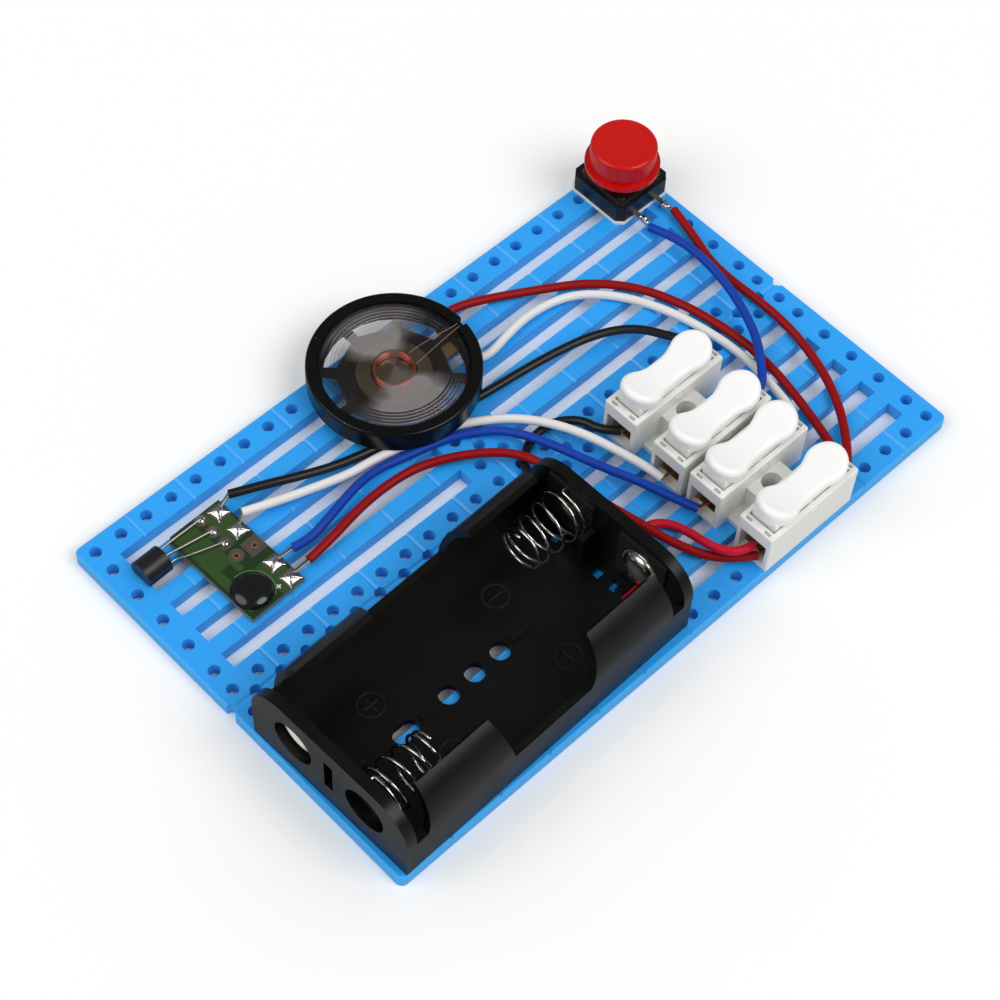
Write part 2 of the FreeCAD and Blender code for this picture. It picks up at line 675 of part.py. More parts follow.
def make_battery_box():
    """Open box for two round cells, with curved clips and end walls."""
    work = Work("battery_box")
    half_x = "box_length / 2"
    half_y = "box_width / 2"
    axis = "box_floor + cell_play + cell_radius"
    outer = "box_width / 2 - bay_offset"
    inner = "cell_radius + cell_play"
    reach = "2 * clip_far"

    work.block((f"-{half_x}", f"-{half_y}", "0"), ("box_length", "box_width", "box_floor"))
    for x in (f"-{half_x}", f"{half_x} - box_end_wall"):
        work.block((x, f"-{half_y}", "0"), ("box_end_wall", "box_width", "box_height"))
    top = size("box_height")
    side = size("box_width") / 2
    crowns = lambda edge: (
        isinstance(edge.Curve, Part.Line)
        and abs(edge.Curve.Direction.x) > 0.999
        and edge.BoundBox.ZMin > top - 0.01
        and abs(abs(edge.BoundBox.YMin) - side) < 0.01
    )
    work.fillet("box_corner", crowns)

    for y in (f"-{half_y}", f"{half_y} - box_side_wall"):
        work.block((f"-{half_x}", y, "0"), ("box_length", "box_side_wall", "low_wall"))
        work.block(("-clip_far", y, "0"), (reach, "box_side_wall", axis))

    turn = ALONG_X
    sector = {"Angle": f"asin((clip_height - ({axis})) / ({outer}))"}
    shell = work.primitive(
        "AdditiveCylinder",
        ("-clip_far", "bay_offset", axis),
        turn,
        Radius=outer,
        Height=reach,
        **sector,
    )
    hollow = work.primitive(
        "SubtractiveCylinder",
        ("-clip_far", "bay_offset", axis),
        turn,
        Radius=inner,
        Height=reach,
        Angle="80",
    )
    work.pattern([shell, hollow], [], ["XZ_Plane"])

    above = "clip_height + 1"
    for corners in (
        [("-clip_near", "low_wall"), ("clip_near", "low_wall")]
        + [("clip_near + clip_slope", above), ("-(clip_near + clip_slope)", above)],
        [("clip_far", "low_wall"), ("clip_far + 0.5", "low_wall")]
        + [("clip_far + 0.5", above), ("clip_far - clip_slope / 2", above)],
        [("-clip_far - 0.5", "low_wall"), ("-clip_far", "low_wall")]
        + [("clip_slope / 2 - clip_far", above), ("-clip_far - 0.5", above)],
    ):
        gap = work.sketch("XZ_Plane")
        outline(gap, corners)
        work.pocket(gap, "2 * box_width", middle=True)

    wall = "box_end_wall + 1"
    for y in ("bay_offset", "-bay_offset"):
        near = (f"-{half_x} - 0.5", y, "sight_height")
        work.round_bar(near, "sight_radius", wall, ALONG_X, cut=True)
        far = (f"{half_x} - box_end_wall - 0.5", y, "lead_height")
        work.round_bar(far, "wire_radius + lead_play", wall, ALONG_X, cut=True)
    work.block(
        (f"-{half_x} - 0.5", "-sight_slot_width / 2", "sight_height - sight_slot_height / 2"),
        (wall, "sight_slot_width", "sight_slot_height"),
        cut=True,
    )
    below = "-0.5"
    through = "box_floor + 1"
    for step in (-1, 0, 1):
        work.round_bar((f"{step} * screw_pitch", "0", below), "screw_radius", through, cut=True)
    for step in (-1, 1):
        middle = f"{step} * oval_length / 2 - oval_inset"
        work.round_bar((middle, "0", below), "oval_radius", through, cut=True)
    work.block(
        ("-oval_length / 2 - oval_inset", "-oval_radius", below),
        ("oval_length", "2 * oval_radius", through),
        cut=True,
    )
    for y in ("-window_width", "-window_width * 3.2", "window_width * 5"):
        work.block((f"{half_x} - window_inset", y, below), ("window_length", "window_width", through), cut=True)

    back = f"{half_x} - box_end_wall - contact_thick"
    partition = ("partition_length", "partition_thick", "partition_height")
    work.block((f"{back} - partition_length", "partition_offset - partition_thick / 2", "0"), partition)
    work.block((f"-({back})", "-partition_offset - partition_thick / 2", "0"), partition)
    for step in (-1, 1):
        work.block(
            (f"{step} * rest_offset - rest_length / 2", "-rest_thick / 2", "0"),
            ("rest_length", "rest_thick", "box_floor + rest_height"),
        )
    return work.done("battery")


def make_contacts():
    """Spring plate and domed plate at the far wall, and the bridge between the bays at the near wall."""
    face = "box_length / 2 - box_end_wall"
    axis = "(box_floor + cell_play + cell_radius)"
    low = f"{axis} - contact_height / 2"
    extent = ("contact_thick", "contact_width", "contact_height")
    work = Work("negative_contact")
    work.block((f"{face} - contact_thick", "bay_offset - contact_width / 2", low), extent)
    work.done("battery")

    dome = {"Radius1": "dome_rise", "Radius2": "dome_radius", "Radius3": "dome_radius", "Angle1": "0"}
    work = Work("positive_contact")
    work.block((f"{face} - contact_thick", "-bay_offset - contact_width / 2", low), extent)
    at = (f"{face} - contact_thick", "-bay_offset", axis)
    work.primitive("AdditiveEllipsoid", at, AGAINST_X, **dome)
    work.done("battery")

    work = Work("bridge_contact")
    work.block(
        (f"-({face})", "-bay_offset - contact_width / 2", low),
        ("contact_thick", "2 * bay_offset + contact_width", "contact_height"),
    )
    at = (f"contact_thick - ({face})", "bay_offset", axis)
    work.primitive("AdditiveEllipsoid", at, ALONG_X, **dome)
    work.done("battery")


def arc_through(start, tangent, end):
    """A circular arc that leaves start along tangent and reaches end."""
    chord = end - start
    way = Vector(chord).normalize()
    along = tangent.dot(way)
    side = tangent - way * along
    if side.Length < 1e-7:
        return Part.LineSegment(start, end).toShape()
    side.normalize()
    half_angle = math.acos(max(-1.0, min(1.0, along))) / 2
    middle = (start + end) / 2 + side * (chord.Length / 2 * math.tan(half_angle))
    return Part.Arc(start, middle, end).toShape()


def biarc(start, leaving, end, arriving):
    """Two tangent arcs between two points with given directions."""
    gap = end - start
    both = leaving + arriving
    spread = 2 * (1 - leaving.dot(arriving))
    if spread < 1e-9:
        reach = gap.dot(gap) / (4 * gap.dot(arriving))
    else:
        root = math.sqrt(gap.dot(both) ** 2 + spread * gap.dot(gap))
        reach = (root - gap.dot(both)) / spread
    middle = (start + end + (leaving - arriving) * reach) / 2
    first = arc_through(start, leaving, middle)
    second = arc_through(end, arriving * -1, middle)
    return [first, second]


def coil_points(base, towards, height):
    """Points and directions of a tapering battery spring, a quarter turn apart."""
    turns = int(size("spring_turns"))
    foot = size("spring_wire")
    length = size("spring_length") - foot
    wide = size("spring_base_radius")
    narrow = size("spring_tip_radius")
    close = foot + size("spring_close_gap")
    steps = 4 * turns

    def spot(quarter):
        share = quarter / steps
        radius = wide + (narrow - wide) * share
        open_pitch = (length - close) / (turns - 1)
        turn = quarter / 4
        rise = close * turn if turn < 1 else close + open_pitch * (turn - 1)
        angle = math.pi / 2 + turn * 2 * math.pi
        return Vector(
            base.x + towards * (foot * 1.5 + rise),
            base.y + radius * math.cos(angle),
            height + radius * math.sin(angle),
        )

    points = [spot(quarter) for quarter in range(steps + 1)]
    directions = []
    for quarter in range(steps + 1):
        before = spot(max(0.0, quarter - 0.02))
        after = spot(min(float(steps), quarter + 0.02))
        directions.append((after - before).normalize())
    return points, directions


def make_spring(label, towards, side):
    """One conical battery spring, from its contact plate towards the cell."""
    wire = size("spring_wire")
    plate = size("box_length") / 2 - size("box_end_wall") - size("contact_thick")
    height = size("box_floor") + size("cell_play") + size("cell_radius")
    base = Vector(-towards * plate, side * size("bay_offset"), 0)
    points, directions = coil_points(base, towards, height)
    away = Vector(towards, 0, 0)
    bend = 2.2 * wire
    foot = Vector(base.x, points[0].y - bend * directions[0].y, points[0].z - bend * directions[0].z)
    foot_end = foot + away * wire
    edges = [Part.LineSegment(foot, foot_end).toShape()]
    edges += biarc(foot_end, away, points[0], directions[0])
    for step in range(len(points) - 1):
        edges += biarc(points[step], directions[step], points[step + 1], directions[step + 1])
    tip = points[-1] + directions[-1] * wire
    edges.append(Part.LineSegment(points[-1], tip).toShape())
    path = Part.Wire(Part.__sortEdges__(edges))
    section = Part.Wire([Part.Circle(foot, away, wire / 2).toShape()])
    solid = path.makePipeShell([section], True, False)
    least = least_gap(path, wire)
    share = solid.Volume / (path.Length * math.pi * wire * wire / 4)
    print(f"{label}: least gap to itself {least:.2f} mm, volume over section times length {share:.4f}")
    return feature(label, solid, "battery")


def least_gap(path, wire):
    """Least free space between turns of a wound wire, measured on points."""
    count = int(path.Length / 0.15)
    dots = path.discretize(Number=count)
    step = path.Length / (count - 1)
    apart = int(4 * wire / step) + 1
    best = 1e9
    for first in range(0, count - apart, 2):
        for second in range(first + apart, count, 2):
            best = min(best, (dots[first] - dots[second]).Length)
    return best - wire


# Speaker


def make_speaker():
    """Round speaker: rim, film, voice coil, steel yoke, magnet, pole plate and terminal board."""
    rim_top = "(speaker_lift + speaker_rim_height)"
    work = Work("speaker_frame")
    work.round_bar(("0", "0", "speaker_lift"), "speaker_radius", "speaker_rim_height")
    level = size("speaker_lift") + size("speaker_rim_height")
    work.fillet("speaker_rounding", at_height(level))
    film_seat = f"{rim_top} - film_step - film_thick"
    work.round_bar(("0", "0", film_seat), "speaker_radius - speaker_lip", "speaker_rim_height", cut=True)
    floor = "speaker_lift + back_thick"
    work.round_bar(("0", "0", floor), "window_outer", "speaker_rim_height", cut=True)
    work.round_bar(("0", "0", "0"), "yoke_radius + seat_play", "3 * speaker_lift", cut=True)
    notch = ("window_outer + 0.2", "-rim_notch / 2 - notch_offset", f"{rim_top} - notch_depth")
    work.block(notch, ("speaker_radius", "rim_notch", "speaker_rim_height"), cut=True)
    make_speaker_windows(work)
    work.done("speaker")

    work = Work("speaker_diaphragm")
    profile = work.sketch("XZ_Plane")
    outline(profile, film_corners(rim_top))
    work.turned(profile)
    work.done("speaker")

    work = Work("speaker_yoke")
    work.round_bar(("0", "0", "0"), "yoke_radius", "yoke_height")
    work.round_bar(("0", "0", "yoke_floor"), "yoke_bore", "yoke_height", cut=True)
    work.done("speaker")
    work = Work("speaker_magnet")
    work.round_bar(("0", "0", "yoke_floor"), "magnet_radius", "magnet_height")
    work.done("speaker")
    work = Work("pole_plate")
    work.round_bar(("0", "0", "yoke_floor + magnet_height"), "pole_radius", "pole_height")
    work.done("speaker")

    work = Work("voice_coil")
    coil_top = f"{rim_top} - film_step - film_cone - film_thick - seat_play"
    foot = f"{coil_top} - coil_height"
    work.round_bar(("0", "0", foot), "coil_outer", "coil_height")
    work.round_bar(("0", "0", f"{foot} - 1"), "coil_inner", "coil_height + 2", cut=True)
    work.done("speaker")

    work = Work("speaker_terminal_board")
    work.block(
        ("tag_inset", "-tag_width / 2 - notch_offset", "speaker_lift - tag_thick"),
        ("tag_length", "tag_width", "tag_thick"),
    )
    work.done("speaker")
    pads = []
    for sign in (-1, 1):
        at = ("tag_inset + tag_length / 2", f"{sign} * tag_width / 4 - notch_offset", "speaker_lift - tag_thick")
        flat = Rotation(Vector(1, 0, 0), 180)
        pads.append(("Cone", at, flat, {"Radius1": "tag_width / 5", "Radius2": "tag_width / 8", "Height": "tag_solder"}))
    cluster("speaker_solder", "speaker", pads)

    over = size("speaker_lift") + size("speaker_rim_height") - size("film_step")
    reach = size("coil_outer")
    edge = size("window_outer")
    wire = size("lead_wire")
    ridge = over + size("film_ridge") + wire
    leads = []
    for start, end in ((0.35, -1.0), (-2.0, -1.6)):
        begin = math.sqrt(reach * reach - start * start)
        route = [
            Vector(begin, start, over - size("film_cone") + wire),
            Vector(begin + 2.2, start, over - 0.7 * size("film_cone") + wire * 2),
            Vector((begin + edge) / 2 + 0.9, (start + end) / 2, ridge),
            Vector(edge - 0.6, end, ridge + 0.1),
            Vector(edge + 0.9, end, ridge + 0.1),
        ]
        leads.append(tube(route, wire / 2))
    feature("coil_leads", Part.makeCompound(leads), "speaker")


def make_speaker_windows(work):
    """Cuts the openings between the spokes of the speaker's back."""
    inner = "window_inner"
    outer = "window_outer - window_border"
    count = int(size("window_count"))
    ring_cut = work.sketch("XY_Plane", "speaker_lift - 0.5")
    half = "(180 deg / window_count)"
    lean_in = f"asin(window_rib / 2 / ({inner}))"
    lean_out = f"asin(window_rib / 2 / ({outer}))"
    crest = f"({outer}) / cos({half} / 3)"
    corners = [
        (f"({inner}) * cos({lean_in})", f"({inner}) * sin({lean_in})"),
        (f"({outer}) * cos({lean_out})", f"({outer}) * sin({lean_out})"),
        (f"{crest} * cos({half} * 2 / 3)", f"{crest} * sin({half} * 2 / 3)"),
        (f"{crest} * cos({half} * 4 / 3)", f"{crest} * sin({half} * 4 / 3)"),
        (f"({outer}) * cos(2 * {half} - {lean_out})", f"({outer}) * sin(2 * {half} - {lean_out})"),
        (f"({inner}) * cos(2 * {half} - {lean_in})", f"({inner}) * sin(2 * {half} - {lean_in})"),
    ]
    outline(ring_cut, corners)
    before = work.body.Shape.Volume
    cut = work.pocket(ring_cut, "back_thick + 1", back=True)
    around = work.body.newObject("PartDesign::PolarPattern", work.named("PolarPattern"))
    around.Originals = [cut]
    around.Axis = (work.origin("Z_Axis"), [""])
    around.Angle = 360.0
    bind(around, Occurrences="window_count")
    work.body.Tip = around
    doc.recompute()
    one = before - cut.Shape.Volume
    if before - work.body.Shape.Volume < one * (count - 0.5):
        raise RuntimeError("speaker windows are missing")


def film_corners(rim_top):
    """Outline of the film's section, from its outer edge inwards above and outwards below."""
    flat = f"{rim_top} - film_step"
    spots = [("speaker_radius - speaker_lip - film_play", "0")]
    ridges = 4
    width = "(window_outer - 0.2 - film_flat)"
    for step in range(2 * ridges + 1):
        place = f"window_outer - 0.2 - {width} * {step} / {2 * ridges}"
        spots.append((place, "film_ridge" if step % 2 else "0"))
    spots += [
        ("film_flat - (film_flat - coil_outer) * 0.4", "-film_cone * 0.25"),
        ("film_flat - (film_flat - coil_outer) * 0.75", "-film_cone * 0.65"),
        ("coil_outer + 0.1", "-film_cone"),
        ("coil_inner - 0.1", "-film_cone"),
        ("coil_inner * 0.66", "-film_cone * 0.3"),
        ("coil_inner * 0.3", "film_cone * 0.05"),
        ("0", "film_cone * 0.15"),
    ]
    upper = [(x, f"{flat} + ({z})") for x, z in spots]
    lower = [(x, f"{flat} + ({z}) - film_thick") for x, z in reversed(spots)]
    return upper + lower


# Cords and other bent round stock


def tube(points, radius, name=None):
    """A round bar along straight runs joined by tangent arcs as large as the runs allow."""
    ways = [(b - a).normalize() for a, b in zip(points, points[1:])]
    runs = [(b - a).Length for a, b in zip(points, points[1:])]
    edges = []
    bends = []
    here = points[0]
    for index in range(1, len(points) - 1):
        into, out = ways[index - 1], ways[index]
        back = 0.45 * min(runs[index - 1], runs[index])
        turn = into.getAngle(out)
        first = points[index] - into * back
        last = points[index] + out * back
        bends.append(back / math.tan(turn / 2))
        edges.append(Part.LineSegment(here, first).toShape())
        edges.append(arc_through(first, into, last))
        here = last
    edges.append(Part.LineSegment(here, points[-1]).toShape())
    path = Part.Wire(edges)
    section = Part.Wire([Part.Circle(points[0], ways[0], radius).toShape()])
    solid = path.makePipeShell([section], True, False)
    if name is not None:
        share = solid.Volume / (path.Length * math.pi * radius * radius)
        text = ", ".join(f"{bend:.1f}" for bend in bends)
        print(f"{name}: length {path.Length:.1f} mm, volume share {share:.4f}, radii {text}")
    return solid


# Sound board and its transistor


PADS = (("pad_row", "pad_1"), ("pad_row", "pad_2"), ("pad_row", "pad_3"), ("pad_row", "pad_4"))
JOINTS = (("joint_row", "joint_spread"), ("joint_row", "0"), ("joint_row", "-joint_spread"))


def make_board():
    """Sound board with its epoxy blob, solder and transistor."""
    work = Work("circuit_board")
    work.block(
        ("-board_width / 2", "-board_length / 2", "0"),
        ("board_width", "board_length", "board_thick"),
    )
    side = size("board_width") / 2
    end = size("board_length") / 2
    corner = lambda edge: (
        upright(edge) and abs(edge.BoundBox.XMin + side) < 0.01 and abs(edge.BoundBox.YMin - end) < 0.01
    )
    work.chamfer("board_chamfer", corner)
    for x, y in (("bare_pad_x", "bare_pad_y"), ("ring_pad_x", "ring_pad_y")):
        work.round_bar((x, y, "-0.5"), "via_radius", "board_thick + 1", cut=True)
    work.done("board")

    lens = {"Radius1": "blob_height", "Radius2": "blob_radius", "Radius3": "blob_radius"}
    lens.update({"Angle1": "0", "Angle2": "90"})
    cluster("epoxy_blob", "board", [("Ellipsoid", ("blob_x", "blob_y", "board_thick"), None, lens)])

    beads = []
    for x, y in PADS:
        star = {"Radius1": "solder_radius", "Radius2": "solder_radius * 0.45", "Height": "solder_height"}
        beads.append(("Cone", (x, y, "board_thick"), None, star))
    for x, y in JOINTS:
        bead = {"Radius1": "joint_radius", "Radius2": "joint_radius * 0.6", "Height": "joint_height"}
        beads.append(("Cone", (x, f"joint_middle + {y}", "board_thick"), None, bead))
    cluster("board_solder", "board", beads)

    work = Work("transistor_body")
    start = "-board_width / 2 - transistor_gap - transistor_length"
    radius = "transistor_width / 2"
    work.round_bar((start, "transistor_y", f"transistor_depth - {radius}"), radius, "transistor_length", ALONG_X)
    work.block((f"{start} - 1", "transistor_y - transistor_width", "-transistor_width"), ("transistor_length + 2", "2 * transistor_width", "transistor_width"), cut=True)
    work.done("board")

    face = -size("board_width") / 2 - size("transistor_gap")
    middle = size("transistor_y")
    high = size("board_thick") + size("joint_height") * 0.75
    legs = []
    for sign in (1, 0, -1):
        y = middle + sign * size("leg_spread")
        end_y = size("joint_middle") + sign * size("joint_spread")
        route = [
            Vector(face, y, size("leg_height")),
            Vector(face + 1.1, y, size("leg_height")),
            Vector(face + 2.8, y + (end_y - y) * 0.3, high),
            Vector(size("joint_row"), end_y, high + 0.02),
        ]
        legs.append(tube(route, size("leg_width") / 2))
    feature("transistor_leads", Part.makeCompound(legs), "board")


# Push switch


def make_switch():
    """Square push switch with its snap dome, plunger, round cap, pins and solder."""
    foot = "pad_thick"
    work = Work("switch_pad")
    work.block(("-pad_size / 2", "-pad_size / 2", "0"), ("pad_size", "pad_size", "pad_thick"))
    work.chamfer("switch_chamfer", upright)
    work.done("switch")

    top = "pad_thick + switch_height"
    work = Work("switch_base")
    work.block(("-switch_size / 2", "-switch_size / 2", foot), ("switch_size", "switch_size", "switch_height"))
    work.chamfer("switch_chamfer", upright)
    work.round_bar(("0", "0", f"{foot} + switch_floor"), "switch_bore", "switch_height", cut=True)
    for x in (-1, 1):
        for y in (-1, 1):
            at = (f"{x} * rivet_offset", f"{y} * rivet_offset", foot)
            work.round_bar(at, "rivet_radius", "switch_height + cover_thick + rivet_head")
    work.done("switch")

    work = Work("switch_cover")
    work.block(("-cover_size / 2", "-cover_size / 2", top), ("cover_size", "cover_size", "cover_thick"))
    work.fillet("cover_round", upright)
    work.round_bar(("0", "0", top), "stem_size * 0.7071 + stem_play", "cover_thick", cut=True)
    for x in (-1, 1):
        for y in (-1, 1):
            at = (f"{x} * rivet_offset", f"{y} * rivet_offset", top)
            work.round_bar(at, "rivet_radius + seat_play", "cover_thick", cut=True)
    work.done("switch")

    shoulder = f"{top} - stem_play"
    work = Work("switch_plunger")
    work.round_bar(("0", "0", f"{shoulder} - plunger_foot"), "plunger_radius", "plunger_foot")
    work.block(
        ("-stem_size / 2", "-stem_size / 2", shoulder),
        ("stem_size", "stem_size", f"stem_top - ({shoulder})"),
    )
    nub = f"{foot} + switch_floor + snap_dome_rise + dome_thick + stem_play"
    work.round_bar(("0", "0", nub), "stem_size / 4", f"{shoulder} - plunger_foot - ({nub})")
    work.done("switch")

    work = Work("switch_dome")
    profile = work.sketch("XZ_Plane")
    outline(profile, snap_corners(f"{foot} + switch_floor"))
    work.turned(profile)
    work.done("switch")

    work = Work("switch_cap")
    work.round_bar(("0", "0", "cap_bottom"), "cap_radius", "cap_height")
    crown = size("cap_bottom") + size("cap_height")
    work.fillet("cap_round", at_height(crown))
    work.round_bar(("0", "0", "cap_bottom"), "cap_flange_radius", "cap_flange_height")
    work.round_bar(("0", "0", "cap_bottom"), "cap_radius - cap_wall", "cap_height - cap_wall", cut=True)
    work.round_bar(("0", "0", "cap_bottom"), "cap_boss_radius", "cap_height - cap_wall")
    work.block(
        ("-stem_size / 2 - seat_play", "-stem_size / 2 - seat_play", "cap_bottom"),
        ("stem_size + 2 * seat_play", "stem_size + 2 * seat_play", "stem_top - cap_bottom"),
        cut=True,
    )
    work.done("switch")

    edge = "switch_size / 2"
    pins = []
    beads = []
    for sign in (-1, 1):
        x = f"{sign} * pin_pitch / 2"
        pins.append(
            (
                "Box",
                (f"{x} - pin_width / 2", f"-({edge}) - pin_length", "pin_height - pin_thick / 2"),
                None,
                {"Length": "pin_width", "Width": "pin_length", "Height": "pin_thick"},
            )
        )
        beads.append(
            (
                "Cone",
                (x, f"-({edge}) - pin_length", "pin_height"),
                Rotation(Vector(1, 0, 0), 90),
                {"Radius1": "bead_radius", "Radius2": "bead_radius * 0.55", "Height": "bead_length"},
            )
        )
    cluster("switch_pins", "switch", pins)
    cluster("switch_solder", "switch", beads)


def snap_corners(floor):
    """Section of the snap dome, from its rim over the crown and back underneath."""
    spots = [(1.0, 0.0), (0.8, 0.45), (0.55, 0.78), (0.25, 0.96), (0.0, 1.0)]
    upper = []
    lower = []
    for share, rise in spots:
        x = f"snap_dome_radius * {share}"
        z = f"{floor} + snap_dome_rise * {rise}"
        upper.append((x, f"{z} + dome_thick"))
        lower.append((x, z))
    return upper + lower[::-1]


# Spring connectors


def make_housing(label, place):
    """White case of one two-pole spring connector."""
    work = Work(label)
    half = "connector_length / 2"
    for sign in (-1, 1):
        work.block(
            (f"-{half}", f"{sign} * pole_pitch / 2 - pole_width / 2", "0"),
            ("connector_length", "pole_width", "pole_case_height"),
        )
        if sign < 0:
            low = size("pole_case_height")
            work.fillet("case_edge", lambda edge: upright(edge) or at_height(low)(edge))
            pad_link(work)
    top = size("pole_case_height")
    inner_side = lambda edge: edge.BoundBox.YMin > 0 and (
        (isinstance(edge.Curve, Part.Line) and (upright(edge) or at_height(top)(edge)))
        and edge.BoundBox.ZMax > top - 0.01
    )
    work.fillet("case_edge", inner_side)

    hollow = "pole_width - 2 * case_wall"
    for sign in (-1, 1):
        low_y = f"{sign} * pole_pitch / 2 - ({hollow}) / 2"
        work.block(
            (f"-{half} - 1", low_y, "case_floor"),
            ("connector_length + 2", hollow, "entry_height - case_floor"),
            cut=True,
        )
        work.block(
            ("-well_length / 2", low_y, "case_floor"),
            ("well_length", hollow, "pole_case_height"),
            cut=True,
        )
        for end in (-1, 1):
            for side in (-1, 1):
                at_x = f"{end} * (connector_length + well_length) / 4 - tip_slot_length / 2"
                at_y = f"{sign} * pole_pitch / 2 + {side} * tip_slot_offset - tip_slot_width / 2"
                slot = ("tip_slot_length", "tip_slot_width", "tip_slot_depth + 1")
                work.block((at_x, at_y, "pole_case_height - tip_slot_depth"), slot, cut=True)
    reach = "pole_pitch + pole_width + 2"
    at = ("0", f"-({reach}) / 2", "pivot_height")
    work.round_bar(at, "pivot_radius + pivot_play", reach, ALONG_Y, cut=True)
    work.round_bar(("0", "0", "-1"), "web_hole_radius", "web_height + 2", cut=True)
    return work.done(place)


def pad_link(work):
    """Web and foot plate between the two poles."""
    work.block(
        ("-web_length / 2", "-pole_pitch / 2", "0"),
        ("web_length", "pole_pitch", "web_height"),
    )
    work.block(
        ("-web_foot_back", "-pole_pitch / 2", "0"),
        ("web_foot_back + web_foot_front", "pole_pitch", "web_foot_height"),
    )


def make_rocker(label, place):
    """Push rocker with two round lobes, a low waist, a skirt, pivot pins and pusher feet."""
    work = Work(label)
    height = "rocker_top - rocker_bottom"
    for sign in (-1, 1):
        work.round_bar((f"{sign} * rocker_reach", "0", "rocker_bottom"), "rocker_lobe", height)
    work.block(
        ("-rocker_reach", "-rocker_waist", "rocker_bottom"),
        ("2 * rocker_reach", "2 * rocker_waist", height),
    )
    waist = size("rocker_waist")
    corner = lambda edge: (
        upright(edge) and abs(abs(edge.BoundBox.YMin) - waist) < 0.05 and abs(edge.BoundBox.XMin) < size("rocker_reach")
    )
    work.fillet("waist_round", corner)
    sag = "(rocker_top - rocker_saddle)"
    chord = "(rocker_reach + rocker_lobe)"
    sweep = f"({chord} ^ 2 + {sag} ^ 2) / (2 * {sag})"
    width = "2 * rocker_lobe + 2"
    work.round_bar(("0", f"-({width}) / 2", f"rocker_saddle + {sweep}"), sweep, width, ALONG_Y, cut=True)
    level = size("rocker_saddle") - 0.05
    bottom = size("rocker_bottom")
    crown = lambda edge: edge.BoundBox.ZMin > level and not upright(edge)
    work.fillet("rocker_round", crown)
    work.fillet("rocker_under", lambda edge: at_height(bottom)(edge))
    work.block(
        ("-skirt_length / 2", "-skirt_width / 2", "skirt_bottom"),
        ("skirt_length", "skirt_width", "rocker_bottom + 0.5 - skirt_bottom"),
    )
    for sign in (-1, 1):
        work.block(
            (f"{sign} * pusher_reach - pusher_size / 2", "-pusher_width / 2", "pusher_bottom"),
            ("pusher_size", "pusher_width", "skirt_bottom + 0.1 - pusher_bottom"),
        )
    pin = "pole_width - 2 * pin_inset"
    work.round_bar(("0", f"-({pin}) / 2", "pivot_height"), "pivot_radius", pin, ALONG_Y)
    return work.done(place)


def make_clamp(label, bar_label, place):
    """Bent leaf spring of one pole and the bar that it presses the wires on."""
    work = Work(label)
    profile = work.sketch("XZ_Plane")
    bar_top = "case_floor + bar_thick"
    upper = [
        ("-leaf_tip", "leaf_tip_height"),
        ("-leaf_knee", "leaf_top"),
        ("leaf_knee", "leaf_top"),
        ("leaf_tip", "leaf_tip_height"),
    ]
    lower = [
        ("leaf_tip", "leaf_tip_height - leaf_thick"),
        ("leaf_knee", "leaf_top - leaf_thick"),
        ("leaf_foot / 2", "leaf_top - leaf_thick"),
        ("leaf_foot / 2", bar_top),
        ("-leaf_foot / 2", bar_top),
        ("-leaf_foot / 2", "leaf_top - leaf_thick"),
        ("-leaf_knee", "leaf_top - leaf_thick"),
        ("-leaf_tip", "leaf_tip_height - leaf_thick"),
    ]
    outline(profile, upper + lower)
    work.pad(profile, "leaf_width", middle=True)
    work.done(place)

    work = Work(bar_label)
    width = "pole_width - 2 * case_wall - 4 * pivot_play"
    work.block(("-bar_length / 2", f"-({width}) / 2", "case_floor"), ("bar_length", width, "bar_thick"))
    work.done(place)


# Wires: points above the plate's top, as they lie


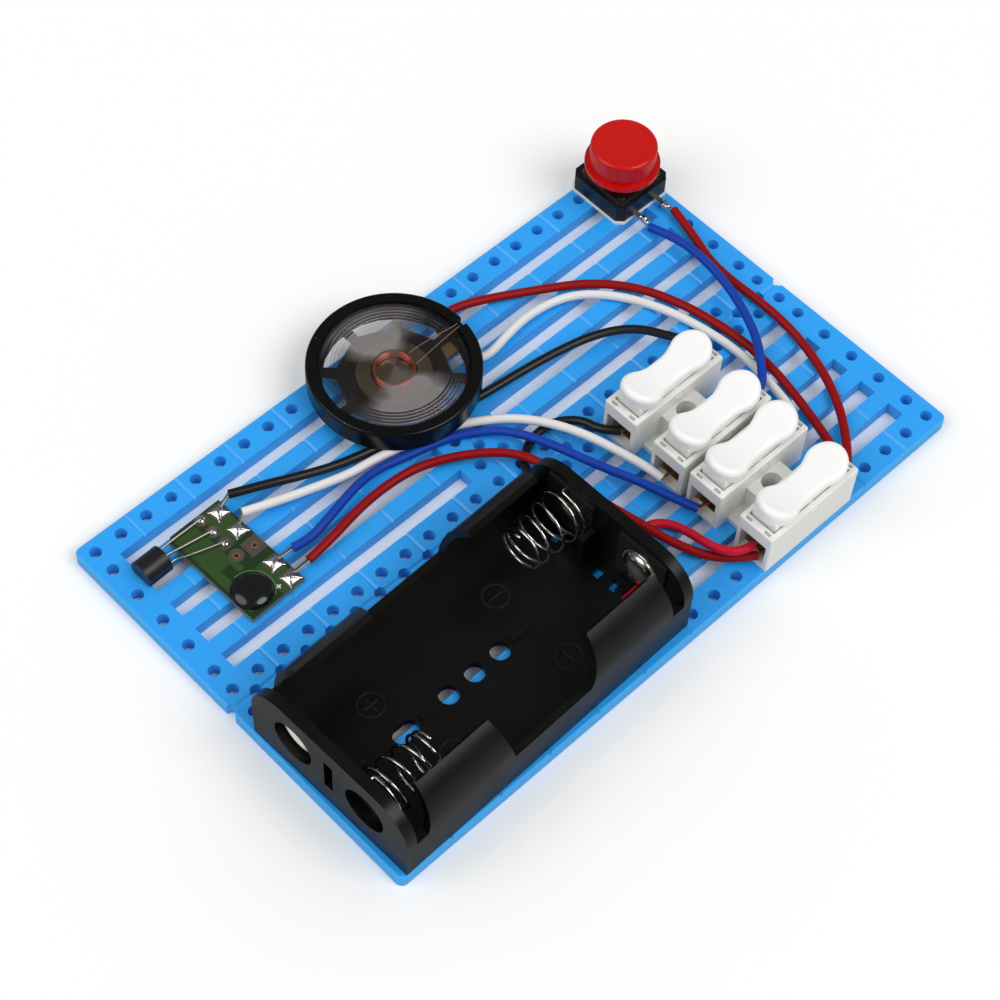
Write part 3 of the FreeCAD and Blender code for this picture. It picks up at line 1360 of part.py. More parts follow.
WIRES = {
    "wire_black_board": [
        (-36.3, 28.3, 2.0), (-31.5, 26.0, 2.2), (-25.9, 23.4, 2.0), (-20.4, 21.5, 1.3), (-15.6, 20.5, 0.8),
        (-10.8, 19.3, 0.8), (-5.2, 18.0, 0.8), (0.6, 17.1, 0.8), (6.6, 15.9, 0.9), (13.4, 14.9, 1.5),
        (20.6, 13.6, 2.0), (28.0, 11.7, 2.3), (33.8, 8.1, 2.5), (37.0, 2.9, 2.2), (39.4, -0.7, 2.1),
        (39.1, -4.0, 2.1), (35.6, -5.1, 2.2),
    ],
    "wire_white_board": [
        (-36.7, 24.6, 1.5), (-31.3, 22.4, 1.6), (-24.6, 20.4, 1.2), (-19.2, 19.0, 0.8), (-14.8, 18.5, 0.8),
        (-10.4, 17.5, 0.8), (-5.2, 16.15, 0.8), (-1.4, 15.0, 0.8), (2.2, 12.9, 0.95), (6.4, 9.2, 1.9),
        (9.8, 4.1, 2.8), (12.7, -2.3, 3.0), (14.5, -9.5, 3.0), (15.3, -13.2, 2.9), (15.7, -15.6, 2.6),
    ],
    "wire_blue_board": [
        (-35.0, 14.6, 1.1), (-32.4, 13.7, 1.6), (-27.5, 14.5, 2.1), (-20.6, 16.2, 1.8), (-15.6, 16.7, 1.0),
        (-11.2, 15.7, 0.8), (-6.4, 14.5, 0.8), (-2.4, 13.3, 0.8), (0.9, 11.2, 1.1), (4.0, 8.0, 2.1),
        (6.8, 1.8, 2.9), (9.9, -7.4, 2.8), (12.7, -13.6, 2.5), (14.3, -18.9, 2.4), (15.9, -23.2, 2.3),
    ],
    "wire_red_board": [
        (-34.6, 11.3, 1.1), (-30.0, 11.6, 1.5), (-23.7, 12.8, 1.4), (-17.9, 13.5, 0.9), (-11.8, 13.1, 0.8),
        (-7.2, 11.2, 1.2), (-3.2, 8.5, 1.9), (0.4, 5.2, 2.5), (3.0, 1.3, 2.8), (4.5, -6.0, 2.8),
        (5.6, -13.5, 2.8), (7.0, -18.9, 2.7), (8.2, -23.3, 2.0), (10.4, -28.4, 1.2), (13.3, -32.4, 1.1),
        (16.9, -35.2, 1.65),
    ],
    "wire_red_speaker": [
        (10.2, 29.8, 0.8), (11.6, 31.6, 0.8), (14.6, 32.2, 0.8), (19.6, 30.2, 0.9), (28.5, 25.2, 0.8),
        (35.7, 20.6, 0.9), (41.2, 14.0, 1.0), (44.4, 5.5, 1.0), (45.9, -4.5, 1.0), (45.4, -12.3, 0.9),
        (44.0, -19.0, 0.9), (42.0, -25.6, 1.3), (40.4, -29.7, 1.9), (38.4, -32.1, 2.2), (35.7, -32.9, 2.3),
    ],
    "wire_white_speaker": [
        (9.6, 24.2, 0.8), (10.4, 22.0, 0.8), (13.0, 21.0, 0.9), (18.2, 21.9, 1.1), (23.0, 22.5, 1.0),
        (28.7, 21.8, 0.9), (33.1, 19.8, 0.8), (36.9, 15.9, 0.8), (40.0, 10.8, 0.8), (42.3, 4.2, 0.8),
        (43.6, -3.2, 0.8), (43.6, -9.6, 0.8), (42.5, -15.4, 1.1), (41.3, -19.6, 1.7), (39.4, -22.6, 2.2),
        (35.6, -23.5, 2.3),
    ],
    "wire_black_battery": [
        (-2.6, -12.3, 2.15), (-0.4, -12.25, 2.15), (1.4, -11.6, 1.8), (1.9, -9.2, 1.1), (1.5, -5.2, 0.8),
        (1.0, -1.4, 0.8), (2.1, 1.6, 0.8), (4.4, 3.6, 0.8), (7.2, 4.6, 0.8), (10.0, 4.7, 0.8),
        (12.5, 3.8, 1.0), (14.7, 1.1, 1.7), (15.1, -2.3, 2.3), (17.3, -4.8, 2.6),
    ],
    "wire_red_battery": [
        (-4.4, -27.2, 2.15), (-0.6, -27.1, 2.15), (1.8, -26.6, 1.8), (3.3, -24.6, 1.1), (4.2, -21.6, 0.8),
        (6.4, -19.5, 0.8), (9.3, -19.6, 0.8), (11.4, -21.8, 1.0), (12.0, -25.2, 1.8), (11.9, -28.6, 2.8),
        (12.6, -31.4, 3.2), (14.4, -33.5, 3.3), (16.9, -34.0, 3.2),
    ],
    "wire_blue_switch": [
        (51.4, 22.0, 1.25), (52.3, 17.4, 2.2), (52.2, 11.4, 3.1), (51.1, 4.7, 3.4), (49.0, -1.9, 3.4),
        (46.3, -7.3, 3.5), (43.4, -11.0, 3.2), (40.4, -14.3, 2.7), (35.7, -15.6, 2.4),
    ],
    "wire_red_switch": [
        (57.2, 21.9, 1.25), (55.9, 16.2, 1.0), (54.0, 10.2, 0.8), (53.7, 4.5, 0.8), (54.0, -1.1, 0.8),
        (53.8, -7.0, 0.8), (52.8, -12.6, 0.8), (50.8, -18.8, 0.9), (47.9, -24.2, 1.2), (44.9, -28.2, 1.5),
        (41.9, -31.4, 1.9), (38.9, -34.1, 2.2), (35.7, -35.2, 2.3),
    ],
}

STRANDS = {
    "board_strands": [
        [(-36.3, 28.3, 2.0), (-38.6, 27.6, 1.5)],
        [(-36.7, 24.6, 1.5), (-38.5, 23.3, 1.5)],
        [(-35.0, 14.6, 1.1), (-38.2, 14.5, 1.62)],
        [(-34.6, 11.3, 1.1), (-38.1, 10.9, 1.64)],
    ],
    "speaker_strands": [
        [(10.2, 29.8, 0.8), (8.5, 27.9, 0.8)],
        [(9.6, 24.2, 0.8), (8.5, 26.1, 0.8)],
    ],
    "battery_strands": [
        [(-2.6, -12.3, 2.15), (-3.3, -12.3, 2.25)],
        [(-4.4, -27.2, 2.15), (-5.1, -27.2, 2.25)],
    ],
    "switch_strands": [
        [(51.4, 22.0, 1.25), (51.9, 22.7, 1.2)],
        [(57.2, 21.9, 1.25), (56.9, 22.7, 1.2)],
    ],
}

CONNECTOR_STRANDS = [
    [(17.3, -4.8, 2.6), (20.6, -5.0, 1.8)],
    [(15.7, -15.6, 2.6), (20.6, -15.6, 1.8)],
    [(15.9, -23.2, 2.3), (20.6, -23.4, 1.75)],
    [(16.9, -35.2, 1.65), (20.6, -35.0, 1.6)],
    [(16.9, -34.0, 3.2), (20.6, -33.8, 2.3)],
    [(35.6, -5.1, 2.2), (32.0, -5.0, 1.8)],
    [(35.7, -15.6, 2.4), (32.0, -15.6, 1.9)],
    [(35.6, -23.5, 2.3), (32.0, -23.5, 1.8)],
    [(35.7, -32.9, 2.3), (32.0, -33.2, 1.9)],
    [(35.7, -35.2, 2.3), (32.0, -35.0, 1.8)],
]
STRANDS["connector_strands"] = CONNECTOR_STRANDS


def make_wires():
    """Ten covered wires and the bare ends that go into solder and clamps."""
    for label, route in WIRES.items():
        points = [Vector(*point) for point in route]
        feature(label, tube(points, size("wire_radius"), label), "wires")
    for label, routes in STRANDS.items():
        bars = []
        for start, end in routes:
            foot = Vector(*start)
            way = Vector(*end) - foot
            bars.append(Part.makeCylinder(size("strand_radius"), way.Length, foot, way))
        feature(label, Part.makeCompound(bars), "wires")


PLACES["wires"] = ("0", "0", "plate_thick", "0")
for number, (place, sign) in enumerate(
    (("back_connector", "+"), ("back_connector", "-"), ("front_connector", "+"), ("front_connector", "-")), 1
):
    x, y, z, turn = PLACES[place]
    PLACES[f"pole_{number}"] = (x, f"{y} {sign} pole_pitch / 2", z, turn)


def check_model():
    """Stops if any object failed or any sub-part is empty or not valid."""
    for thing in doc.Objects:
        for state in thing.State:
            if state in ("Invalid", "Error"):
                raise RuntimeError(f"{thing.Label} is {state}")
    for thing in PIECES:
        if thing.Shape.isNull() or not thing.Shape.isValid() or thing.Shape.Volume <= 0:
            raise RuntimeError(f"{thing.Label} has no valid solid")


def main():
    """Builds every sub-part, checks the model and writes the files."""
    make_plate()
    make_battery_box()
    make_contacts()
    make_spring("battery_spring_far", -1, 1)
    make_spring("battery_spring_near", 1, -1)
    make_speaker()
    make_board()
    make_switch()
    make_housing("connector_housing_back", "back_connector")
    make_housing("connector_housing_front", "front_connector")
    for number in range(1, 5):
        make_rocker(f"rocker_{number}", f"pole_{number}")
        make_clamp(f"clamp_spring_{number}", f"contact_bar_{number}", f"pole_{number}")
    make_wires()
    doc.recompute()
    check_model()
    for thing in PIECES:
        solids = len(thing.Shape.Solids)
        print(f"{thing.Label}: {solids} solid, {thing.Shape.Volume:.1f} mm3")
        thing.Shape.exportStep(f"parts/{thing.Label}.step")
    print(f"{len(PIECES)} sub-parts")


main()
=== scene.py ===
"""Dresses the battery door bell demonstrator: blue pierced plate, battery box, speaker, sound board,
push switch, spring connectors and hook-up wires. Lengths are written in millimetres and turned to metres.
"""

from __future__ import annotations

import logging
import math
from dataclasses import dataclass
from enum import Enum

import bpy
import numpy as np
from mathutils import Matrix, Vector


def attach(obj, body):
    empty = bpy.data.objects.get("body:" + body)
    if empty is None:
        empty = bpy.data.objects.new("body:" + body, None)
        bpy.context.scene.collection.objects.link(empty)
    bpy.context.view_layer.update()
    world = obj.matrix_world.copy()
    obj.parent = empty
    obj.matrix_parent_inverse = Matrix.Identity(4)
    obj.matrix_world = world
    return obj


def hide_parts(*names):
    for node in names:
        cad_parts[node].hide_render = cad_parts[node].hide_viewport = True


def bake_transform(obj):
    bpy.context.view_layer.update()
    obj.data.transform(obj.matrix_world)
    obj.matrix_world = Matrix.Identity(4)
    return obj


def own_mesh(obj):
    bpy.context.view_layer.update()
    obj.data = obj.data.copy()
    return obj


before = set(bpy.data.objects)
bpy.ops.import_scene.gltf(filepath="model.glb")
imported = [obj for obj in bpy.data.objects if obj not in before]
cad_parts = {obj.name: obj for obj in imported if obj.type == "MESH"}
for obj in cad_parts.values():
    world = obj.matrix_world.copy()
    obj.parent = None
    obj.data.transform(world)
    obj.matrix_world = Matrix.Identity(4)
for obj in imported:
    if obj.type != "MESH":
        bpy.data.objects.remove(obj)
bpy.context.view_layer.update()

LOG = logging.getLogger("bell_demonstrator")
MM = 0.001
PLATE_TOP = 2.6
TURN = 2 * math.pi

# Sizes that finishes and pieces share, in millimetres
BAY_OFFSET = 7.45
CELL_AXIS = 8.8
FILM_FLAT, FILM_OUTER, FILM_RIDGES = 9.1, 11.5, 4
COIL_RADIUS, COIL_PITCH = 3.5, 0.14
PAD_X, PAD_ROWS = 3.8, (8.07, 3.64, -4.72, -8.44)
JOINT_X, JOINT_ROWS = 0.75, (8.9, 6.05, 3.2)
BLOB = (-2.0, -6.05)

Tone = tuple[float, float, float]
Point = tuple[float, float, float]


class Slot(Enum):
    """Material slots of the record, passed along with each new piece."""

    FILM = "clear_film"
    SOLDER = "solder"
    NICKEL = "nickel"
    COPPER = "copper"
    STRAND = "strand"
    RESIN = "epoxy"
    BLACK = "cover_black"
    WHITE = "cover_white"
    BLUE = "cover_blue"
    RED = "cover_red"
    PINK = "cover_pink"


@dataclass(frozen=True)
class Place:
    """Where an assembly stands on the plate: its middle, its foot and its turn."""

    x: float = 0.0
    y: float = 0.0
    z: float = PLATE_TOP
    yaw: float = 0.0

    def world(self, points: np.ndarray) -> np.ndarray:
        """Turns local millimetres into metres in the row's frame.

        Args:
            points: array whose last axis is x, y, z.

        Returns:
            Array of the same shape.
        """
        angle = math.radians(self.yaw)
        cos, sin = math.cos(angle), math.sin(angle)
        turned = points @ np.array([[cos, sin, 0], [-sin, cos, 0], [0, 0, 1]])
        return (turned + np.array([self.x, self.y, self.z])) * MM


PLATE = Place(z=0.0)
WIRING = Place()
BATTERY = Place(x=-29.5, y=-20.4, yaw=1.4)
SPEAKER = Place(x=-1.9, y=27.7)
BOARD = Place(x=-42.8, y=19.1, yaw=1.45)
SWITCH = Place(x=54.4, y=32.1)


# Shader maths


class Value:
    """A socket whose Python operators add Math nodes to its tree."""

    def __init__(self, tree: bpy.types.NodeTree, socket: bpy.types.NodeSocket) -> None:
        """Wraps one output socket."""
        self.tree = tree
        self.socket = socket

    def math(self, operation: str, *others: "Value | float", clamp: bool = False) -> "Value":
        """Adds one Math node.

        Args:
            operation: the node's operation.
            others: further operands.
            clamp: whether the result stays from 0 to 1.

        Returns:
            The node's result.
        """
        node = self.tree.nodes.new("ShaderNodeMath")
        node.operation = operation
        node.use_clamp = clamp
        for index, operand in enumerate((self, *others)):
            if isinstance(operand, Value):
                self.tree.links.new(operand.socket, node.inputs[index])
            else:
                node.inputs[index].default_value = operand
        return Value(self.tree, node.outputs[0])

    def __add__(self, other: "Value | float") -> "Value":
        """Sum."""
        return self.math("ADD", other)

    def __sub__(self, other: "Value | float") -> "Value":
        """Difference."""
        return self.math("SUBTRACT", other)

    def __mul__(self, other: "Value | float") -> "Value":
        """Product."""
        return self.math("MULTIPLY", other)

    def __truediv__(self, other: "Value | float") -> "Value":
        """Quotient."""
        return self.math("DIVIDE", other)

    def __abs__(self) -> "Value":
        """Distance from zero."""
        return self.math("ABSOLUTE")

    def below(self, edge: float, soft: float) -> "Value":
        """1 under an edge and 0 over it, with a ramp of the given width."""
        return self.math("MULTIPLY_ADD", -1.0 / soft, edge / soft + 0.5, clamp=True)

    def reach(self, other: "Value") -> "Value":
        """Distance from the middle: the root of the sum of both squares."""
        return (self * self + other * other).math("SQRT")


class Dress:
    """One material around a Principled shader."""

    def __init__(self, name: str, **sockets: float | tuple) -> None:
        """Makes the material and sets uniform numbers on the shader's own sockets."""
        self.material = bpy.data.materials.new(name)
        self.material.use_nodes = True
        self.tree = self.material.node_tree
        self.shader = self.tree.nodes["Principled BSDF"]
        for socket, value in sockets.items():
            self.shader.inputs[socket.replace("_", " ")].default_value = value

    def node(self, kind: str, settings: dict | None = None, inputs: dict | None = None) -> bpy.types.Node:
        """Adds any node: settings first, then the values or links of its sockets.

        Args:
            kind: node type after ShaderNode.
            settings: properties of the node.
            inputs: socket name or number to a number, tuple or Value.

        Returns:
            The node.
        """
        node = self.tree.nodes.new("ShaderNode" + kind)
        for name, value in (settings or {}).items():
            setattr(node, name, value)
        for name, value in (inputs or {}).items():
            if isinstance(value, Value):
                self.tree.links.new(value.socket, node.inputs[name])
            else:
                node.inputs[name].default_value = value
        return node

    def where(self, place: Place = PLATE) -> Value:
        """Object coordinates as millimetres from a place's middle, along its own axes."""
        coordinates = Value(self.tree, self.node("TexCoord").outputs["Object"])
        inputs = {
            "Vector": coordinates,
            "Location": (place.x * MM, place.y * MM, place.z * MM),
            "Rotation": (0.0, 0.0, math.radians(place.yaw)),
            "Scale": (MM, MM, MM),
        }
        return Value(self.tree, self.node("Mapping", {"vector_type": "TEXTURE"}, inputs).outputs[0])

    def axes(self, where: Value) -> tuple[Value, Value, Value]:
        """The x, y and z of a vector."""
        node = self.node("SeparateXYZ", inputs={0: where})
        return tuple(Value(self.tree, node.outputs[index]) for index in range(3))

    def noise(self, where: Value, size: float, detail: float = 2.0, stretch: Point = (1.0, 1.0, 1.0)) -> Value:
        """Soft noise from 0 to 1 with lumps of a size in millimetres."""
        scaled = self.node("VectorMath", {"operation": "MULTIPLY"}, {0: where, 1: stretch})
        inputs = {"Vector": Value(self.tree, scaled.outputs[0]), "Scale": 1.0 / size, "Detail": detail}
        return Value(self.tree, self.node("TexNoise", inputs=inputs).outputs[0])

    def specks(self, where: Value, spacing: float, radius: float) -> Value:
        """1 in small round specks set about a spacing apart, in millimetres."""
        cells = self.node("TexVoronoi", inputs={"Vector": where, "Scale": 1.0 / spacing})
        return Value(self.tree, cells.outputs["Distance"]).below(radius / spacing, 0.3 * radius / spacing)

    def mix(self, factor: Value | float, first: Tone | Value, second: Tone | Value) -> Value:
        """Mixes two colours."""
        first, second = (tone if isinstance(tone, Value) else (*tone, 1.0) for tone in (first, second))
        node = self.node("Mix", {"data_type": "RGBA"}, {0: factor, 6: first, 7: second})
        return Value(self.tree, node.outputs[2])

    def feed(self, socket: str, value: Value) -> None:
        """Links a value to one of the shader's sockets."""
        self.tree.links.new(value.socket, self.shader.inputs[socket])

    def bump(self, height: Value, depth: float, strength: float = 1.0) -> None:
        """Raises the surface by height times a depth in millimetres."""
        node = self.node("Bump", inputs={"Height": height, "Distance": depth * MM, "Strength": strength})
        self.feed("Normal", Value(self.tree, node.outputs[0]))


# Finishes


@dataclass(frozen=True)
class Finish:
    """A surface with two close tones, uneven gloss, a fine grain and a little dust."""

    name: str
    tone: Tone
    roughness: float = 0.4
    tone_shift: float = 0.12
    shift_size: float = 9.0
    rough_shift: float = 0.12
    grain_size: float = 0.35
    grain_depth: float = 0.006
    metallic: float = 0.0
    index: float = 1.47
    coat: float = 0.0
    dust: float = 0.0
    stretch: Point = (1.0, 1.0, 1.0)

    def begin(self, place: Place = PLATE) -> tuple[Dress, Value]:
        """The material with its uniform sockets set, and its millimetre coordinates from a place."""
        dress = Dress(self.name, Metallic=self.metallic, IOR=self.index, Coat_Weight=self.coat, Coat_Roughness=0.08)
        return dress, dress.where(place)

    def paint(self, dress: Dress, where: Value) -> Value:
        """Colour of the surface: its tone, lighter and darker by turns.

        Args:
            dress: the material.
            where: millimetre coordinates.

        Returns:
            The colour.
        """
        dark = tuple(channel * (1 - self.tone_shift) for channel in self.tone)
        light = tuple(min(1.0, channel * (1 + self.tone_shift)) for channel in self.tone)
        colour = dress.mix(dress.noise(where, self.shift_size, 3.0), dark, light)
        if self.dust:
            colour = dress.mix(dress.specks(where, 2.3, 0.055) * self.dust, colour, (0.6, 0.6, 0.58))
        return colour

    def gloss(self, dress: Dress, where: Value) -> None:
        """Feeds an uneven roughness, in patches a little smaller than those of the tone."""
        smudge = dress.noise(where, self.shift_size * 0.6, 4.0)
        dress.feed("Roughness", smudge * (2 * self.rough_shift) + (self.roughness - self.rough_shift))

    def build(self) -> bpy.types.Material:
        """Makes the whole material."""
        dress, where = self.begin()
        dress.feed("Base Color", self.paint(dress, where))
        self.gloss(dress, where)
        dress.bump(dress.noise(where, self.grain_size, 3.0, self.stretch), self.grain_depth)
        return dress.material


@dataclass(frozen=True)
class PlatePlastic(Finish):
    """Moulded blue plastic with faint round ejector marks along its borders."""

    marks: tuple[tuple[float, float], ...] = ()
    mark_radius: float = 1.15
    mark_width: float = 0.16

    def build(self) -> bpy.types.Material:
        """Makes the whole material."""
        dress, where = self.begin()
        for socket, value in (("Weight", 0.12), ("Radius", (0.1, 0.6, 1.0)), ("Scale", 0.0012)):
            dress.shader.inputs["Subsurface " + socket].default_value = value
        x, y, z = dress.axes(where)
        rings: Value | float = 0.0
        for mark_x, mark_y in self.marks:
            radius = (x - mark_x).reach(y - mark_y)
            rings = abs(radius - self.mark_radius).below(self.mark_width, self.mark_width) + rings
        flow = dress.noise(where, 14.0, 2.0, (0.4, 1.0, 1.0))
        colour = dress.mix(flow, tuple(c * 0.9 for c in self.tone), self.tone)
        # Upright faces round the edges, holes and slots are mixed towards a lighter cyan: painted highlight for
        # light glinting through the plate's edges.
        side = abs(z - PLATE_TOP / 2).below(PLATE_TOP / 2 - 0.08, 0.1)
        colour = dress.mix(side * 0.35, colour, (0.10, 0.52, 0.93))
        dress.feed("Base Color", colour)
        dress.feed("Roughness", dress.noise(where, 5.0, 4.0) * 0.18 + (self.roughness - 0.09))
        grain = dress.noise(where, self.grain_size, 3.0)
        dress.bump(rings * -6.0 + grain, self.grain_depth)
        return dress.material


@dataclass(frozen=True)
class BoxPlastic(Finish):
    """Black plastic with faint raised polarity marks on the floor of each bay."""

    circles: tuple[tuple[float, float, bool], ...] = (
        (11.7, 7.3, False),
        (-14.9, 6.9, True),
        (12.3, -7.8, True),
        (-11.5, -7.3, False),
    )
    circle_radius: float = 2.1
    line: float = 0.16
    floor: float = 1.3

    def build(self) -> bpy.types.Material:
        """Makes the whole material."""
        dress, where = self.begin(BATTERY)
        x, y, z = dress.axes(where)
        marks: Value | float = 0.0
        for at_x, at_y, plus in self.circles:
            away_x, away_y = x - at_x, y - at_y
            radius = away_x.reach(away_y)
            arm = radius.below(self.circle_radius * 0.6, 0.1)
            marks = abs(radius - self.circle_radius).below(self.line, 0.1) + marks
            marks = abs(away_y).below(self.line, 0.1) * arm + marks
            if plus:
                marks = abs(away_x).below(self.line, 0.1) * arm + marks
        marks = marks.math("MINIMUM", 1.0) * abs(z - self.floor).below(0.1, 0.05)
        dress.feed("Base Color", dress.mix(marks * 0.5, self.paint(dress, where), (0.014, 0.0135, 0.013)))
        self.gloss(dress, where)
        dress.bump(marks * 8.0 + dress.noise(where, self.grain_size, 3.0), self.grain_depth)
        return dress.material


@dataclass(frozen=True)
class BoardLacquer(Finish):
    """Green solder mask over copper, with bare pads, rings, a plus mark and bare laminate at its edges."""

    mask_light: Tone = (0.035, 0.085, 0.018)
    laminate: Tone = (0.22, 0.20, 0.08)
    tinned: Tone = (0.15, 0.125, 0.11)
    ink: Tone = (0.75, 0.76, 0.72)
    bare_copper: Tone = (0.35, 0.13, 0.07)
    thick: float = 1.0
    spare_pad: tuple[float, float] = (3.8, -0.17)
    spare_hole: tuple[float, float] = (0.53, 0.34)
    plus: tuple[float, float] = (1.5, -8.25)

    def box(self, x: Value, y: Value, at: Point, extent: Point, soft: float = 0.08) -> Value:
        """1 inside a rectangle: the larger of the two distances past its sides, under zero."""
        past_x = abs(x - at[0]) - extent[0] / 2
        past_y = abs(y - at[1]) - extent[1] / 2
        return past_x.math("MAXIMUM", past_y).below(0.0, soft)

    def disc(self, x: Value, y: Value, at: Point, radius: float, soft: float = 0.08) -> Value:
        """1 inside a circle."""
        return (x - at[0]).reach(y - at[1]).below(radius, soft)

    def build(self) -> bpy.types.Material:
        """Makes the whole material."""
        dress, where = self.begin(BOARD)
        x, y, z = dress.axes(where)
        top = z.math("GREATER_THAN", self.thick - 0.02)
        copper = self.box(x, y, (-2.6, 4.6), (4.2, 9.5), 0.3)
        for at, extent in (
            ((-3.9, -4.4), (1.6, 8.6)),
            ((2.9, -6.5), (3.6, 6.6)),
            ((3.0, 6.0), (4.0, 7.2)),
            ((-0.6, -0.9), (1.2, 2.6)),
            ((0.8, 2.6), (2.4, 1.0)),
        ):
            copper = copper.math("MAXIMUM", self.box(x, y, at, extent, 0.25))
        colour = dress.mix(dress.noise(where, 3.0, 3.0), self.tone, tuple(c * 1.5 for c in self.tone))
        colour = dress.mix(copper * 0.8, colour, self.mask_light)
        bare = self.box(x, y, self.spare_pad, (3.3, 3.1))
        for row in PAD_ROWS:
            bare = bare.math("MAXIMUM", self.box(x, y, (PAD_X, row), (2.7, 2.7)))
        for row in JOINT_ROWS:
            bare = bare.math("MAXIMUM", self.disc(x, y, (JOINT_X, row), 1.15))
        bare = bare.math("MAXIMUM", self.disc(x, y, self.spare_hole, 1.25))
        rosin = dress.mix(dress.noise(where, 0.7, 3.0), self.tinned, (0.085, 0.055, 0.04))
        colour = dress.mix(bare, colour, rosin)
        for hole in (self.spare_hole, self.spare_pad):
            rim = self.disc(x, y, hole, 0.62) - self.disc(x, y, hole, 0.34)
            colour = dress.mix(rim * 0.8, colour, self.bare_copper)
        plus = self.box(x, y, self.plus, (0.85, 0.2)).math("MAXIMUM", self.box(x, y, self.plus, (0.2, 0.85)))
        # A pale green arc round the resin's foot, on one side only: painted highlight.
        painted_highlight_arc = self.disc(x, y, BLOB, 3.72, 0.06) - self.disc(x, y, BLOB, 3.58, 0.06)
        painted_highlight_arc = painted_highlight_arc * (x + y * 0.4).math("GREATER_THAN", -3.4)
        colour = dress.mix(painted_highlight_arc * 0.45, colour, (0.22, 0.42, 0.16))
        colour = dress.mix(plus, colour, self.ink)
        side = dress.mix(dress.noise(where, 0.4, 2.0, (1.0, 1.0, 4.0)), self.laminate, (0.10, 0.11, 0.04))
        dress.feed("Base Color", dress.mix(top, side, colour))
        dress.feed("Metallic", bare * top * 0.4)
        dress.feed("Roughness", bare * 0.18 + dress.noise(where, 1.2, 3.0) * 0.12 + 0.22)
        weave = dress.noise(where, 0.45, 2.0)
        dress.bump(copper * 1.5 + bare * -1.0 + plus * 0.8 + weave * 0.5, 0.03)
        return dress.material


@dataclass(frozen=True)
class WoundCopper(Finish):
    """Enamelled wire wound in close turns: the height wavers once for each turn."""

    def build(self) -> bpy.types.Material:
        """Makes the whole material."""
        dress, where = self.begin(SPEAKER)
        wave = (dress.axes(where)[2] * (TURN / COIL_PITCH)).math("SINE")
        # The colour darkens in the grooves between turns, where the bump is lowest: painted shade.
        dark = tuple(channel * 0.55 for channel in self.tone)
        dress.feed("Base Color", dress.mix(wave * 0.5 + 0.5, dark, self.tone))
        dress.feed("Roughness", dress.noise(where, 0.5, 2.0) * 0.15 + (self.roughness - 0.07))
        dress.bump(wave * 0.5 + 0.5, 0.05)
        return dress.material


@dataclass(frozen=True)
class ClearFilm(Finish):
    """Clear film: mostly see-through, less clear along its pressed ridges, with painted reflections in sectors round
    its cone and painted dark and pale lines on the ridges' flanks.
    """

    clear: float = 0.07

    def build(self) -> bpy.types.Material:
        """Makes the whole material."""
        dress, where = self.begin(SPEAKER)
        x, y, _ = dress.axes(where)
        radius = x.reach(y)
        cone = radius.below(FILM_FLAT, 0.2) - radius.below(3.6, 0.2)
        patches = dress.noise(where, 4.0, 1.0).math("MULTIPLY_ADD", 1.2, 0.35)
        # Painted reflection: two bright and two dark sectors round the middle, broken into patches; it sets the
        # film's colour and how clear it is.
        painted_reflection = (y.math("ARCTAN2", x) * 2.0 - 0.97).math("SINE") * 0.5 + 0.5
        painted_reflection = (painted_reflection * patches * 2.6 - 0.7).math("MINIMUM", 1.0).math("MAXIMUM", 0.0)
        band = (radius - FILM_FLAT) / (FILM_OUTER - FILM_FLAT)
        inside = abs(band - 0.5).below(0.52, 0.03)
        # Along the ridge flanks the film turns less clear, dark or pale with the painted reflection: painted lines.
        crease = abs((band * (math.pi * FILM_RIDGES)).math("SINE")).below(0.34, 0.5) * inside
        dress.feed("Base Color", dress.mix(painted_reflection, (0.07, 0.06, 0.055), (0.44, 0.40, 0.40)))
        dress.feed("Alpha", cone * (painted_reflection * 0.24 + 0.02) + crease * (painted_reflection * 0.26 + 0.12) + self.clear)
        dress.feed("Roughness", dress.noise(where, 2.0, 2.0) * 0.06 + self.roughness)
        dress.bump(dress.noise(where, 1.6, 2.0), 0.03, 0.5)
        return dress.material


@dataclass(frozen=True)
class ContactPlate(Finish):
    """Nickel where a contact meets its cell, and near-black round it."""

    # Colour of the plate away from the dome and rivet: near-black.
    dark_surround: Tone = (0.012, 0.0115, 0.011)
    dome_radius: float = 3.45
    rivet_radius: float = 1.3

    def build(self) -> bpy.types.Material:
        """Makes the whole material."""
        dress, where = self.begin(BATTERY)
        x, y, z = dress.axes(where)
        level = z - CELL_AXIS
        side = x.math("SIGN") * BAY_OFFSET
        reach: Value | float = 0.0
        for middle, radius in ((side * -1.0, self.dome_radius), (side, self.rivet_radius)):
            reach = (y - middle).reach(level).below(radius, 0.15) + reach
        bare = reach.math("MINIMUM", 1.0)
        dress.feed("Base Color", dress.mix(bare, self.dark_surround, self.tone))
        dress.feed("Metallic", bare)
        dress.feed("Roughness", dress.noise(where, 1.0, 3.0) * 0.14 + (self.roughness - 0.07))
        dress.bump(dress.noise(where, self.grain_size, 3.0), self.grain_depth)
        return dress.material


MARKS = ((-57.5, -6.8), (-57.5, 12.8), (-57.5, 25.6), (57.5, -12.6), (57.5, 18.4), (-2.5, -33.2), (12.6, 33.0))

